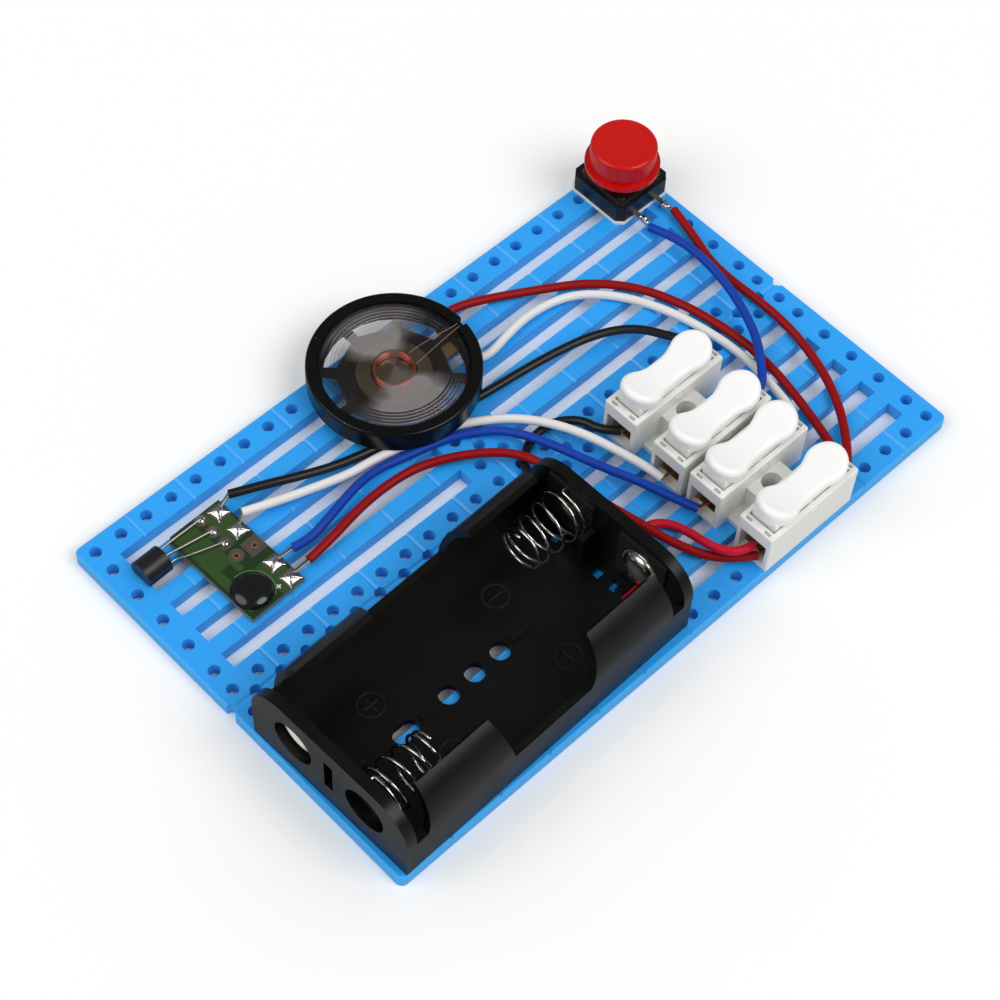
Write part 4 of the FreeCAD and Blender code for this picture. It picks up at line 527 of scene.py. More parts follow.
FINISHES: dict[str, Finish] = {
    finish.name: finish
    for finish in (
        PlatePlastic("blue_plate", (0.026, 0.395, 1.0), 0.33, marks=MARKS, grain_size=0.6, grain_depth=0.008),
        BoxPlastic("box_plastic", (0.0028, 0.0027, 0.0026), 0.36, index=1.42, dust=0.2, grain_depth=0.004),
        Finish("rim_plastic", (0.0032, 0.0034, 0.0036), 0.24, index=1.38, dust=0.6, rough_shift=0.08),
        ClearFilm("film", (0.3, 0.28, 0.27), 0.05, index=1.9),
        Finish("yoke_steel", (0.34, 0.28, 0.17), 0.34, metallic=1.0, grain_size=0.8, stretch=(1.0, 4.0, 1.0)),
        Finish("magnet_metal", (0.40, 0.37, 0.30), 0.28, metallic=1.0),
        WoundCopper("coil_copper", (0.86, 0.15, 0.065), 0.14, metallic=0.85, coat=1.0),
        Finish("lead_copper", (0.42, 0.23, 0.17), 0.40, metallic=0.5),
        Finish("tag_laminate", (0.20, 0.13, 0.05), 0.5, grain_size=0.5),
        BoardLacquer("board_lacquer", (0.009, 0.030, 0.008), 0.3, coat=0.3),
        Finish("resin", (0.006, 0.006, 0.0065), 0.16, coat=0.4, grain_size=2.4, grain_depth=0.05, rough_shift=0.05),
        Finish("solder_metal", (0.78, 0.76, 0.74), 0.20, metallic=1.0, grain_size=0.9, grain_depth=0.05),
        Finish("transistor_resin", (0.012, 0.0125, 0.0135), 0.38, grain_size=0.25, grain_depth=0.010),
        Finish("tinned_lead", (0.50, 0.47, 0.41), 0.34, metallic=1.0, grain_size=0.7, stretch=(0.3, 1.0, 1.0)),
        Finish("nickel", (0.78, 0.75, 0.70), 0.16, metallic=1.0, grain_size=1.5, rough_shift=0.07),
        ContactPlate("contact_plate", (0.78, 0.75, 0.70), 0.2),
        # Pale, nearly matte nickel that shows bright in diffuse light: painted reflection in place of the metal's
        # shine.
        Finish("nickel_painted_reflection", (0.86, 0.79, 0.71), 0.5, metallic=0.1, grain_size=1.4, grain_depth=0.05),
        Finish("foam", (0.86, 0.86, 0.84), 0.8, grain_size=0.3, grain_depth=0.03),
        Finish("switch_plastic", (0.007, 0.009, 0.012), 0.36, dust=0.2),
        Finish("cover_steel", (0.34, 0.32, 0.30), 0.26, metallic=1.0, stretch=(1.0, 6.0, 1.0)),
        Finish("stem_plastic", (0.012, 0.012, 0.012), 0.4),
        Finish(
            "cap_plastic", (0.57, 0.004, 0.0015), 0.28,
            index=1.38, tone_shift=0.06, grain_size=1.6, grain_depth=0.01, coat=0.15,
        ),
        Finish("case_plastic", (0.84, 0.84, 0.80), 0.38, tone_shift=0.03, grain_depth=0.01),
        Finish("rocker_plastic", (0.95, 0.95, 0.94), 0.34, tone_shift=0.02, grain_depth=0.008),
        Finish("spring_strip", (0.55, 0.53, 0.50), 0.25, metallic=1.0),
        Finish("contact_strip", (0.70, 0.52, 0.28), 0.3, metallic=1.0),
        Finish("black_cover", (0.008, 0.008, 0.0085), 0.34, grain_size=0.8, grain_depth=0.02, rough_shift=0.1),
        Finish("white_cover", (0.80, 0.79, 0.77), 0.36, tone_shift=0.04, grain_size=0.8, grain_depth=0.02),
        Finish("blue_cover", (0.006, 0.052, 0.39), 0.42, index=1.3, grain_size=0.8, grain_depth=0.02),
        Finish("red_cover", (0.29, 0.0015, 0.003), 0.42, index=1.3, grain_size=0.8, grain_depth=0.02),
        Finish("pink_cover", (0.56, 0.006, 0.028), 0.42, index=1.3, grain_size=0.8, grain_depth=0.02),
        Finish("copper_strand", (0.80, 0.36, 0.20), 0.3, metallic=1.0, grain_size=0.3, grain_depth=0.02),
    )
}

WEARERS = {
    "blue_plate": "base_plate",
    "box_plastic": "battery_box",
    "contact_plate": "negative_contact positive_contact bridge_contact",
    "nickel": "battery_spring_far battery_spring_near switch_dome",
    "rim_plastic": "speaker_frame",
    "film": "speaker_diaphragm",
    "yoke_steel": "speaker_yoke pole_plate",
    "magnet_metal": "speaker_magnet",
    "coil_copper": "voice_coil",
    "tag_laminate": "speaker_terminal_board",
    "lead_copper": "coil_leads",
    "board_lacquer": "circuit_board",
    "resin": "epoxy_blob",
    "solder_metal": "speaker_solder board_solder switch_solder",
    "transistor_resin": "transistor_body",
    "tinned_lead": "transistor_leads switch_pins board_strands speaker_strands battery_strands switch_strands",
    "foam": "switch_pad",
    "switch_plastic": "switch_base",
    "cover_steel": "switch_cover",
    "stem_plastic": "switch_plunger",
    "cap_plastic": "switch_cap",
    "case_plastic": "connector_housing_back connector_housing_front",
    "rocker_plastic": "rocker_1 rocker_2 rocker_3 rocker_4",
    "spring_strip": "clamp_spring_1 clamp_spring_2 clamp_spring_3 clamp_spring_4",
    "contact_strip": "contact_bar_1 contact_bar_2 contact_bar_3 contact_bar_4",
    "copper_strand": "connector_strands",
}

DRESSED_NODES = {node: finish for finish, nodes in WEARERS.items() for node in nodes.split()}


class Wardrobe:
    """Makes each finish's material once."""

    def __init__(self) -> None:
        """Starts with nothing made."""
        self.made: dict[str, bpy.types.Material] = {}

    def dress(self, thing: bpy.types.Object, name: str) -> None:
        """Puts a finish on every material slot of an object."""
        if name not in self.made:
            self.made[name] = FINISHES[name].build()
        if not thing.material_slots:
            thing.data.materials.append(None)
        for material_slot in thing.material_slots:
            material_slot.material = self.made[name]


# Meshes


def closed(rings: np.ndarray, loop: bool, count: int) -> list[list[int]]:
    """Faces of one skin: quads between neighbouring rings and, unless it is a loop, one face over each end.

    The faces point outwards: the signed volume, a third of the sum of each face's middle times its
    area vector, decides which way round they run.

    Args:
        rings: array of shape (rings, points in a ring, 3).
        loop: whether the last ring joins the first.
        count: number of the skin's first point.

    Returns:
        The point numbers of each face.
    """
    steps, around, _ = rings.shape
    index = np.arange(steps * around).reshape(steps, around)
    following = np.roll(index, -1, axis=1)
    quads = np.stack([index, following, np.roll(following, -1, axis=0), np.roll(index, -1, axis=0)], axis=-1)
    quads = (quads if loop else quads[:-1]).reshape(-1, 4)
    flat = rings.reshape(-1, 3)
    corners = flat[quads]
    spread = np.cross(corners[:, 2] - corners[:, 0], corners[:, 3] - corners[:, 1])
    volume = np.einsum("ij,ij->", corners.mean(axis=1) - flat.mean(axis=0), spread)
    faces = [*quads] if loop else [*quads, index[0][::-1], index[-1]]
    return [((face if volume >= 0 else face[::-1]) + count).tolist() for face in faces]


def turned(profile: np.ndarray, around: int, wobble: float = 0.0) -> np.ndarray:
    """Surface of revolution: radius and height of each profile point, carried round the upright axis.

    Args:
        profile: array of (radius, height) pairs.
        around: points in a turn.
        wobble: share by which the radius wavers, as two sines of the angle.

    Returns:
        Rings of shape (profile points, around, 3).
    """
    angle = np.linspace(0, TURN, around, endpoint=False)
    waver = 1 + wobble * (np.sin(3 * angle + 0.7) + 0.6 * np.sin(5 * angle + 2.1))
    radius = profile[:, :1] * waver
    height = np.broadcast_to(profile[:, 1:], radius.shape)
    return np.stack([radius * np.cos(angle), radius * np.sin(angle), height], axis=-1)


def carried(path: np.ndarray, radius: np.ndarray | float, sides: int, side: np.ndarray) -> np.ndarray:
    """A round bar along a path: each ring lies across the path's own direction there.

    Args:
        path: points of the middle line, shape (n, 3).
        radius: radius of the bar, or one for each point.
        sides: points in a ring.
        side: a direction roughly across the path, or one for each point, that the rings start from.

    Returns:
        Rings of shape (n, sides, 3).
    """
    along = np.gradient(path, axis=0)
    along /= np.linalg.norm(along, axis=1, keepdims=True)
    first = side - along * np.sum(side * along, axis=1, keepdims=True)
    first /= np.linalg.norm(first, axis=1, keepdims=True)
    second = np.cross(along, first)
    angle = np.linspace(0, TURN, sides, endpoint=False)[None, :, None]
    reach = np.broadcast_to(np.asarray(radius, float), (len(path),))[:, None, None]
    ring = first[:, None] * np.cos(angle) + second[:, None] * np.sin(angle)
    return path[:, None] + ring * reach


def bernstein(controls: np.ndarray, share: np.ndarray) -> np.ndarray:
    """Points of a smooth curve: each control point weighed with its Bernstein polynomial of the share.

    Args:
        controls: control points, shape (n, 3).
        share: share of the way of each point, from 0 to 1.

    Returns:
        Points of shape (len(share), 3).
    """
    last = len(controls) - 1
    weights = [math.comb(last, i) * share**i * (1 - share) ** (last - i) for i in range(last + 1)]
    return np.stack(weights, axis=-1) @ controls


# Assemblies


@dataclass
class Assembly:
    """A sub-assembly whose new pieces take their finishes from one wardrobe."""

    wardrobe: Wardrobe

    def fit(self, piece: bpy.types.Object, slot: Slot, node: str = "", body: str = "base", finish: str = "") -> None:
        """Puts a piece in the scene, dressed, on its body and in its node's place.

        Args:
            piece: the new piece.
            slot: its material slot; not used.
            node: the node that it replaces, if any.
            body: the body that it rides, if it rides one alone.
            finish: its finish, if it isn't the node's own.
        """
        bpy.context.scene.collection.objects.link(piece)
        self.wardrobe.dress(piece, finish or DRESSED_NODES[node])
        if body:
            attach(piece, body)
        if node:
            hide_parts(node)
        LOG.info("%s", piece.name)

    def skin(
        self, name: str, skins: list[np.ndarray], slot: Slot, loop: bool = False, **fitting: str
    ) -> bpy.types.Object:
        """Gathers closed skins into one smooth piece and fits it.

        Args:
            name: the piece's name.
            skins: rings of each skin, in metres.
            slot: its material slot.
            loop: whether each skin's last ring joins its first.
            fitting: node, body and finish, as fit takes them.

        Returns:
            The piece.
        """
        faces: list[list[int]] = []
        count = 0
        for rings in skins:
            faces += closed(rings, loop, count)
            count += rings.shape[0] * rings.shape[1]
        mesh = bpy.data.meshes.new(name)
        mesh.from_pydata(np.concatenate([rings.reshape(-1, 3) for rings in skins]).tolist(), [], faces)
        mesh.shade_smooth()
        piece = bpy.data.objects.new(name, mesh)
        self.fit(piece, slot, **fitting)
        return piece


@dataclass
class Wires(Assembly):
    """The ten covered wires, as smooth curves on their points, and their bare twisted ends."""

    diameter: float = 1.5
    strand_ring: float = 0.205
    strand_radius: float = 0.112
    strand_pitch: float = 3.4

    def lay(self, name: str, finish: str, slot: Slot, length: float, route: list[Point]) -> None:
        """Lays one wire as a smooth NURBS curve with its route's points as control points.

        Args:
            name: the wire's node.
            finish: name of its finish.
            slot: its material slot.
            length: its real length in millimetres; not used.
            route: its points, in millimetres above the plate.
        """
        line = bpy.data.curves.new(name + "_line", "CURVE")
        line.dimensions = "3D"
        line.bevel_depth = self.diameter / 2 * MM
        line.bevel_resolution = 6
        line.resolution_u = 12
        line.use_fill_caps = True
        spline = line.splines.new("NURBS")
        spline.points.add(len(route) - 1)
        points = WIRING.world(np.array(route, float))
        spline.points.foreach_set("co", np.c_[points, np.ones(len(points))].ravel())
        spline.order_u = 3
        spline.use_endpoint_u = True
        piece = bpy.data.objects.new(name + "_cover", line)
        self.fit(piece, slot, node=name, finish=finish)

    def strand_rings(self, start: Point, end: Point) -> list[np.ndarray]:
        """Seven fine strands twisted round each other: each outer one is a helix about the bundle's line.

        Args:
            start: where the bundle leaves the cover.
            end: its far end.

        Returns:
            Rings of each strand, in metres.
        """
        foot, tip = WIRING.world(np.array([start, end], float)) / MM
        along = (tip - foot) / np.linalg.norm(tip - foot)
        foot = foot - along * 0.3
        length = float(np.linalg.norm(tip - foot))
        across = np.cross(along, [0.0, 0.0, 1.0])
        across /= np.linalg.norm(across)
        upward = np.cross(across, along)
        share = np.linspace(0, 1, 14)[:, None]
        tubes = []
        for strand in range(7):
            angle = TURN * (strand / 6 + share * length / self.strand_pitch)
            reach = 0.0 if strand == 6 else self.strand_ring
            path = foot + along * share * length + (across * np.cos(angle) + upward * np.sin(angle)) * reach
            tubes.append(carried(path, self.strand_radius, 7, across) * MM)
        return tubes

    def twist(self, name: str, ends: list[tuple[Point, Point]]) -> None:
        """Makes the bare ends of one group."""
        skins = [rings for start, end in ends for rings in self.strand_rings(start, end)]
        self.skin(name + "_twisted", skins, Slot.STRAND, node=name)


@dataclass
class BatterySprings(Assembly):
    """The two tapering springs in the battery box."""

    contact: float = 27.4
    wire: float = 0.5
    base_radius: float = 4.3
    tip_radius: float = 3.5
    length: float = 10.6
    turns: int = 5
    close_gap: float = 0.5

    def helix(self, turn: np.ndarray, towards: float, side: float) -> np.ndarray:
        """Middle line of the coil: the radius shrinks evenly with the turn, and both ends are wound closer.

        Args:
            turn: turn of each point.
            towards: 1 or -1, the way the spring points along x.
            side: 1 or -1, its bay.

        Returns:
            Points in the box's own millimetres.
        """
        close = self.wire + self.close_gap
        reach = self.length - self.wire
        radius = self.base_radius + (self.tip_radius - self.base_radius) * turn / self.turns
        rise = np.interp(turn, (0, 1, self.turns - 1.3, self.turns), (0, close, reach - close * 1.25, reach))
        angle = math.pi / 2 + turn * TURN
        x = towards * (self.wire * 1.5 + rise - self.contact)
        return np.stack([x, side * BAY_OFFSET + radius * np.cos(angle), CELL_AXIS + radius * np.sin(angle)], -1)

    def wind(self, name: str, towards: float, side: float) -> None:
        """Makes one spring, with its foot on the contact plate."""
        coil = self.helix(np.linspace(0, self.turns, 240), towards, side)
        leaving = coil[1] - coil[0]
        leaving /= np.linalg.norm(leaving)
        foot = np.array([-towards * self.contact, *(coil[0] - 2.2 * self.wire * leaving)[1:]])
        pulls = np.array([foot, foot + (towards * 0.9, 0.0, 0.0), coil[0] - leaving * 0.8, coil[0]])
        path = np.concatenate([bernstein(pulls, np.linspace(0, 1, 14, endpoint=False)), coil])
        outward = path - np.array([0.0, side * BAY_OFFSET, CELL_AXIS])
        outward[:, 0] = 0.0
        rings = BATTERY.world(carried(path, self.wire / 2, 12, outward))
        self.skin(name + "_coil", [rings], Slot.NICKEL, node=name)


@dataclass
class SpeakerFilm(Assembly):
    """The clear film: pressed ridges, a shallow cone and a small middle dome."""

    rim_top: float = 5.7
    step: float = 0.7
    thick: float = 0.12
    edge: float = 12.35
    ridge: float = 0.27
    cone: float = 0.5

    def height(self, radius: np.ndarray) -> np.ndarray:
        """Height over the radius: a raised sine on the ridged band, a smooth sag to the coil, a low dome.

        Args:
            radius: distances from the middle.

        Returns:
            Heights above the film's edge plane.
        """
        band = np.clip((radius - FILM_FLAT) / (FILM_OUTER - FILM_FLAT), 0, 1)
        ribs = self.ridge * (0.5 - 0.5 * np.cos(band * TURN * FILM_RIDGES))
        sag = np.clip((FILM_FLAT - radius) / (FILM_FLAT - COIL_RADIUS), 0, 1)
        sag = -self.cone * (0.5 - 0.5 * np.cos(np.pi * np.minimum(sag * 1.02, 1)))
        dome = np.clip(1 - radius / (COIL_RADIUS - 0.35), 0, 1)
        return ribs + sag + self.cone * 1.1 * np.sin(dome * math.pi / 2)

    def press(self) -> None:
        """Makes the film."""
        radius = np.linspace(0.02, self.edge, 190)
        upper = np.c_[radius, self.height(radius)]
        lower = upper[::-1] - np.array([0.0, self.thick])
        profile = np.concatenate([upper, lower]) + np.array([0.0, self.rim_top - self.step])
        piece = self.skin("speaker_film", [SPEAKER.world(turned(profile, 128))], Slot.FILM, node="speaker_diaphragm")
        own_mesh(piece)


@dataclass
class VoiceCoil(Assembly):
    """The wound coil: a closed turn with a rounded crown."""

    inner: float = 3.06
    low: float = 2.86
    high: float = 4.36
    waver: float = 0.012

    def wind(self) -> None:
        """Makes the coil: a superellipse section whose outside wavers as a sine of the height."""
        angle = np.linspace(0, TURN, 96, endpoint=False)
        cos, sin = np.cos(angle), np.sin(angle)
        across = np.sign(cos) * np.abs(cos) ** 0.7 * (COIL_RADIUS - self.inner) / 2
        height = (self.low + self.high) / 2 + np.sign(sin) * np.abs(sin) ** 0.45 * (self.high - self.low) / 2
        across += self.waver * (np.sin(height * TURN / COIL_PITCH) - 1) * np.sign(cos)
        radius = (self.inner + COIL_RADIUS) / 2 + across
        turn = angle[:, None]
        rings = SPEAKER.world(np.stack([radius * np.cos(turn), radius * np.sin(turn), height + 0 * turn], -1))
        self.skin("voice_coil_windings", [rings], Slot.COPPER, loop=True, node="voice_coil", body="coil")


@dataclass
class CoilLeads(Assembly):
    """Two hair-thin leads from the coil over the film to the notch in the rim."""

    film: float = 5.05
    edge: float = 12.0
    radius: float = 0.05
    ends: tuple[tuple[float, float], ...] = ((0.35, -1.0), (-2.0, -1.6))

    def stretch(self) -> None:
        """Makes both leads: each runs along the curve of five control points.
        """
        skins = []
        for start, end in self.ends:
            begin = math.sqrt(COIL_RADIUS**2 - start**2)
            controls = np.array([
                (begin, start, self.film - 0.38),
                (begin + 2.2, start, self.film - 0.11),
                ((begin + self.edge) / 2 + 0.9, (start + end) / 2, self.film + 0.4),
                (self.edge - 0.6, end, self.film + 0.5),
                (self.edge + 0.9, end, self.film + 0.5),
            ])
            path = bernstein(controls, np.linspace(0, 1, 48))
            skins.append(SPEAKER.world(carried(path, self.radius, 10, np.array([0.0, 0.0, 1.0]))))
        piece = self.skin("coil_lead_pair", skins, Slot.COPPER, node="coil_leads", body="")
        bend = SPEAKER.world(np.array([(COIL_RADIUS + 0.4, 0.0, self.film), (COIL_RADIUS + 3.8, 0.0, self.film)]))
        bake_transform(piece)


@dataclass
class ContactBack(Assembly):
    """The hollow back of the bridge's domed contact, seen through the box's end wall."""

    x: float = -27.8
    radius: float = 3.3
    depth: float = 0.6

    def press(self) -> None:
        """Makes a dished disc: a raised ring that falls to the middle as a cosine."""
        share = np.linspace(0.01, 1, 26)
        rise = 0.3 * (0.5 - 0.5 * np.cos(TURN * share**1.4)) + self.depth
        face = np.c_[share * self.radius, rise]
        back = np.array([[self.radius, -0.02], [0.02, -0.02]])
        rings = turned(np.concatenate([face, back]), 64)
        lying = np.stack([-rings[..., 2] + self.x, rings[..., 0] + BAY_OFFSET, rings[..., 1] + CELL_AXIS], -1)
        self.skin("bridge_contact_back", [BATTERY.world(lying)], Slot.NICKEL, finish="nickel_painted_reflection")


@dataclass
class SoundBoard(Assembly):
    """Solder stars, transistor joints and the poured resin on the sound board."""

    thick: float = 1.0
    leans: tuple[float, ...] = (0.1, 0.0, -0.12, 0.07)
    reach: float = 2.05
    pinch: float = 0.66
    crown: float = 0.6
    crease: float = 0.13

    def star(self, x: float, y: float, lean: float) -> np.ndarray:
        """One solder joint that has crept to its pad's four corners.

        Its outline is where |a| and |b|, each raised to the pinch, add up to the reach raised to it, with
        a and b along the pad's diagonals. Its height falls from the crown with the share of the outline, and
        a groove, a bell curve of the distance from one diagonal, runs across it.

        Args:
            x: across the board.
            y: along the board.
            lean: turn of the star, in radians.

        Returns:
            Rings in metres.
        """
        angle = np.linspace(0, TURN, 72, endpoint=False)
        spoke = angle + math.pi / 4 + lean
        pinched = np.abs(np.cos(angle)) ** self.pinch + np.abs(np.sin(angle)) ** self.pinch
        outline = self.reach / pinched ** (1 / self.pinch)
        share = np.array([1.0, 1.0, 0.93, 0.8, 0.65, 0.5, 0.36, 0.22, 0.1, 0.015])[:, None]
        rise = np.array([-0.04, 0.02, 0.12, 0.24, 0.38, 0.56, 0.76, 0.9, 0.98, 1.0])[:, None]
        lumps = 1 + 0.10 * np.sin(2 * spoke + 3 * x + y) * share * (1 - share) * 4
        radius = outline * share * (1 + 0.05 * np.sin(3 * spoke + y))
        groove = 1 - 0.42 * np.exp(-((radius * np.sin(spoke - 0.84 - lean) / self.crease) ** 2))
        height = self.thick + self.crown * rise * np.where(rise > 0.05, lumps * groove, 1.0)
        return BOARD.world(np.stack([x + radius * np.cos(spoke), y + radius * np.sin(spoke), height], -1))

    def bead(self, x: float, y: float) -> np.ndarray:
        """A small round joint: a quarter ellipse turned about its middle."""
        lift = np.linspace(0, math.pi / 2, 9)
        profile = np.c_[np.cos(lift) * 0.8 + 0.012, np.sin(lift) * 0.62 + self.thick]
        profile = np.concatenate([[[0.812, self.thick - 0.04]], profile])
        return BOARD.world(turned(profile, 28, 0.05) + np.array([x, y, 0.0]))

    def solder(self) -> None:
        """Makes all the board's solder as one piece."""
        skins = [self.star(PAD_X, row, lean) for row, lean in zip(PAD_ROWS, self.leans)]
        skins += [self.bead(JOINT_X, row) for row in JOINT_ROWS]
        self.skin("board_solder_joints", skins, Slot.SOLDER, node="board_solder")

    def pour(self) -> None:
        """Makes the resin blob: a flattened quarter ellipse with a thin foot, a little uneven."""
        lift = np.linspace(0, math.pi / 2, 20)
        radius = 3.35 * np.cos(lift) ** 0.9
        height = 1.3 * np.sin(lift) ** 1.15
        profile = np.c_[radius + 0.02, height + self.thick + 0.03]
        profile = np.concatenate([[[3.4, self.thick - 0.04], [3.4, self.thick + 0.015]], profile])
        rings = BOARD.world(turned(profile, 72, 0.006) + np.array([*BLOB, 0.0]))
        self.skin("resin_blob", [rings], Slot.RESIN, node="epoxy_blob")


@dataclass
class SwitchSolder(Assembly):
    """Lumps of solder that join the switch's pins to their wires."""

    pin_pitch: float = 5.0
    from_y: float = -7.1
    to_y: float = -9.7
    height: float = 1.2
    radius: float = 0.6

    def drop(self) -> None:
        """Makes both lumps: a bar whose radius swells as a sine, with a few dents."""
        share = np.linspace(0, 1, 22)
        swell = self.radius * (0.12 + 0.88 * np.sin(math.pi * share) ** 0.6) * (1 + 0.14 * np.sin(share * 17))
        skins = []
        for side in (-1, 1):
            path = np.stack([
                side * self.pin_pitch / 2 + 0.12 * np.sin(share * 7 + side),
                self.from_y + (self.to_y - self.from_y) * share,
                self.height + 0.06 * np.cos(share * 6 + side),
            ], -1)
            skins.append(SWITCH.world(carried(path, swell, 22, np.array([1.0, 0.0, 0.0]))))
        self.skin("switch_solder_lumps", skins, Slot.SOLDER, node="switch_solder")


@dataclass
class SnapDome(Assembly):
    """The snap dome under the plunger, which on the real switch flattens as the button goes down; this piece keeps
    its rest shape.
    """

    floor: float = 1.4
    radius: float = 3.0
    rise: float = 0.5
    thick: float = 0.15

    def press(self) -> None:
        """Makes the dome: it falls from its crown as the share of its radius to the power 2.5."""
        share = np.linspace(0.004, 1, 28)
        under = np.c_[share * self.radius, self.rise * (1 - share**2.5) + self.floor]
        profile = np.concatenate([under + np.array([0.0, self.thick]), under[::-1]])
        piece = self.skin("switch_snap_dome", [SWITCH.world(turned(profile, 64))], Slot.NICKEL, node="switch_dome")
        foot = SWITCH.world(np.array([0.0, 0.0, self.floor]))
        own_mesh(piece)


@dataclass
class Studio:
    """Pale floor, soft light from above and the photograph's camera."""

    lens: float = 87.746
    sensor: float = 36.0
    camera_at: Point = (-156.98, -142.71, 324.45)
    camera_rows: tuple[Point, Point, Point] = (
        (0.72220817, 0.56653671, -0.3968016),
        (-0.69076499, 0.62019666, -0.37175239),
        (0.03548365, 0.54257927, 0.83925482),
    )
    sky: float = 0.54
    gloss_sky: float = 0.13
    suns: tuple[tuple[Point, float, float], ...] = (
        ((0.25, -0.75, 1.0), 1.15, 38.0),
        ((-0.9, 0.35, 1.0), 0.85, 46.0),
    )

    def aim(self) -> None:
        """Sets the camera where the photograph was taken from."""
        data = bpy.data.cameras.new("camera")
        data.lens = self.lens
        data.sensor_width = self.sensor
        data.clip_start = 0.01
        camera = bpy.data.objects.new("camera", data)
        matrix = Matrix(self.camera_rows).to_4x4()
        matrix.translation = Vector(self.camera_at) * MM
        camera.matrix_world = matrix
        bpy.context.scene.collection.objects.link(camera)
        bpy.context.scene.camera = camera

    def light(self) -> None:
        """Two wide suns and a pale sky that the camera sees as white."""
        for number, (way, strength, spread) in enumerate(self.suns, 1):
            data = bpy.data.lights.new(f"sun_{number}", "SUN")
            data.energy = strength
            data.angle = math.radians(spread)
            sun = bpy.data.objects.new(f"sun_{number}", data)
            sun.rotation_euler = Vector(way).to_track_quat("Z", "Y").to_euler()
            bpy.context.scene.collection.objects.link(sun)
        world = bpy.context.scene.world or bpy.data.worlds.new("world")
        bpy.context.scene.world = world
        world.use_nodes = True
        tree = world.node_tree
        paths = tree.nodes.new("ShaderNodeLightPath")
        through = Value(tree, paths.outputs["Is Transmission Ray"])
        seen = Value(tree, paths.outputs["Is Camera Ray"]).math("MAXIMUM", through)
        gloss = Value(tree, paths.outputs["Is Glossy Ray"]) * (self.gloss_sky - self.sky)
        strength = seen.math("MAXIMUM", gloss + self.sky)
        background = tree.nodes["Background"]
        background.inputs["Color"].default_value = (1.0, 1.0, 1.0, 1.0)
        tree.links.new(strength.socket, background.inputs["Strength"])

    def floor(self) -> None:
        """A wide pale floor just under the plate."""
        mesh = bpy.data.meshes.new("floor")
        half, low = 3.0, -0.00005
        corners = [(-half, -half, low), (half, -half, low), (half, half, low), (-half, half, low)]
        mesh.from_pydata(corners, [], [(0, 1, 2, 3)])
        thing = bpy.data.objects.new("floor", mesh)
        bpy.context.scene.collection.objects.link(thing)
        dress = Dress("floor", Roughness=0.7)
        where = dress.where()
        paths = dress.node("LightPath")
        seen = Value(dress.tree, paths.outputs["Is Camera Ray"])
        gloss = Value(dress.tree, paths.outputs["Is Glossy Ray"])
        paper = dress.mix(dress.noise(where, 60.0, 3.0), (0.80, 0.80, 0.80), (0.83, 0.83, 0.83))
        paper = dress.mix(gloss, paper, (0.40, 0.40, 0.40))
        dress.feed("Base Color", dress.mix(seen, paper, (1.0, 1.0, 0.99)))
        mesh.materials.append(dress.material)

    def build(self) -> None:
        """Makes the whole studio."""
        bpy.context.scene.view_settings.view_transform = "Standard"
        self.aim()
        self.light()
        self.floor()


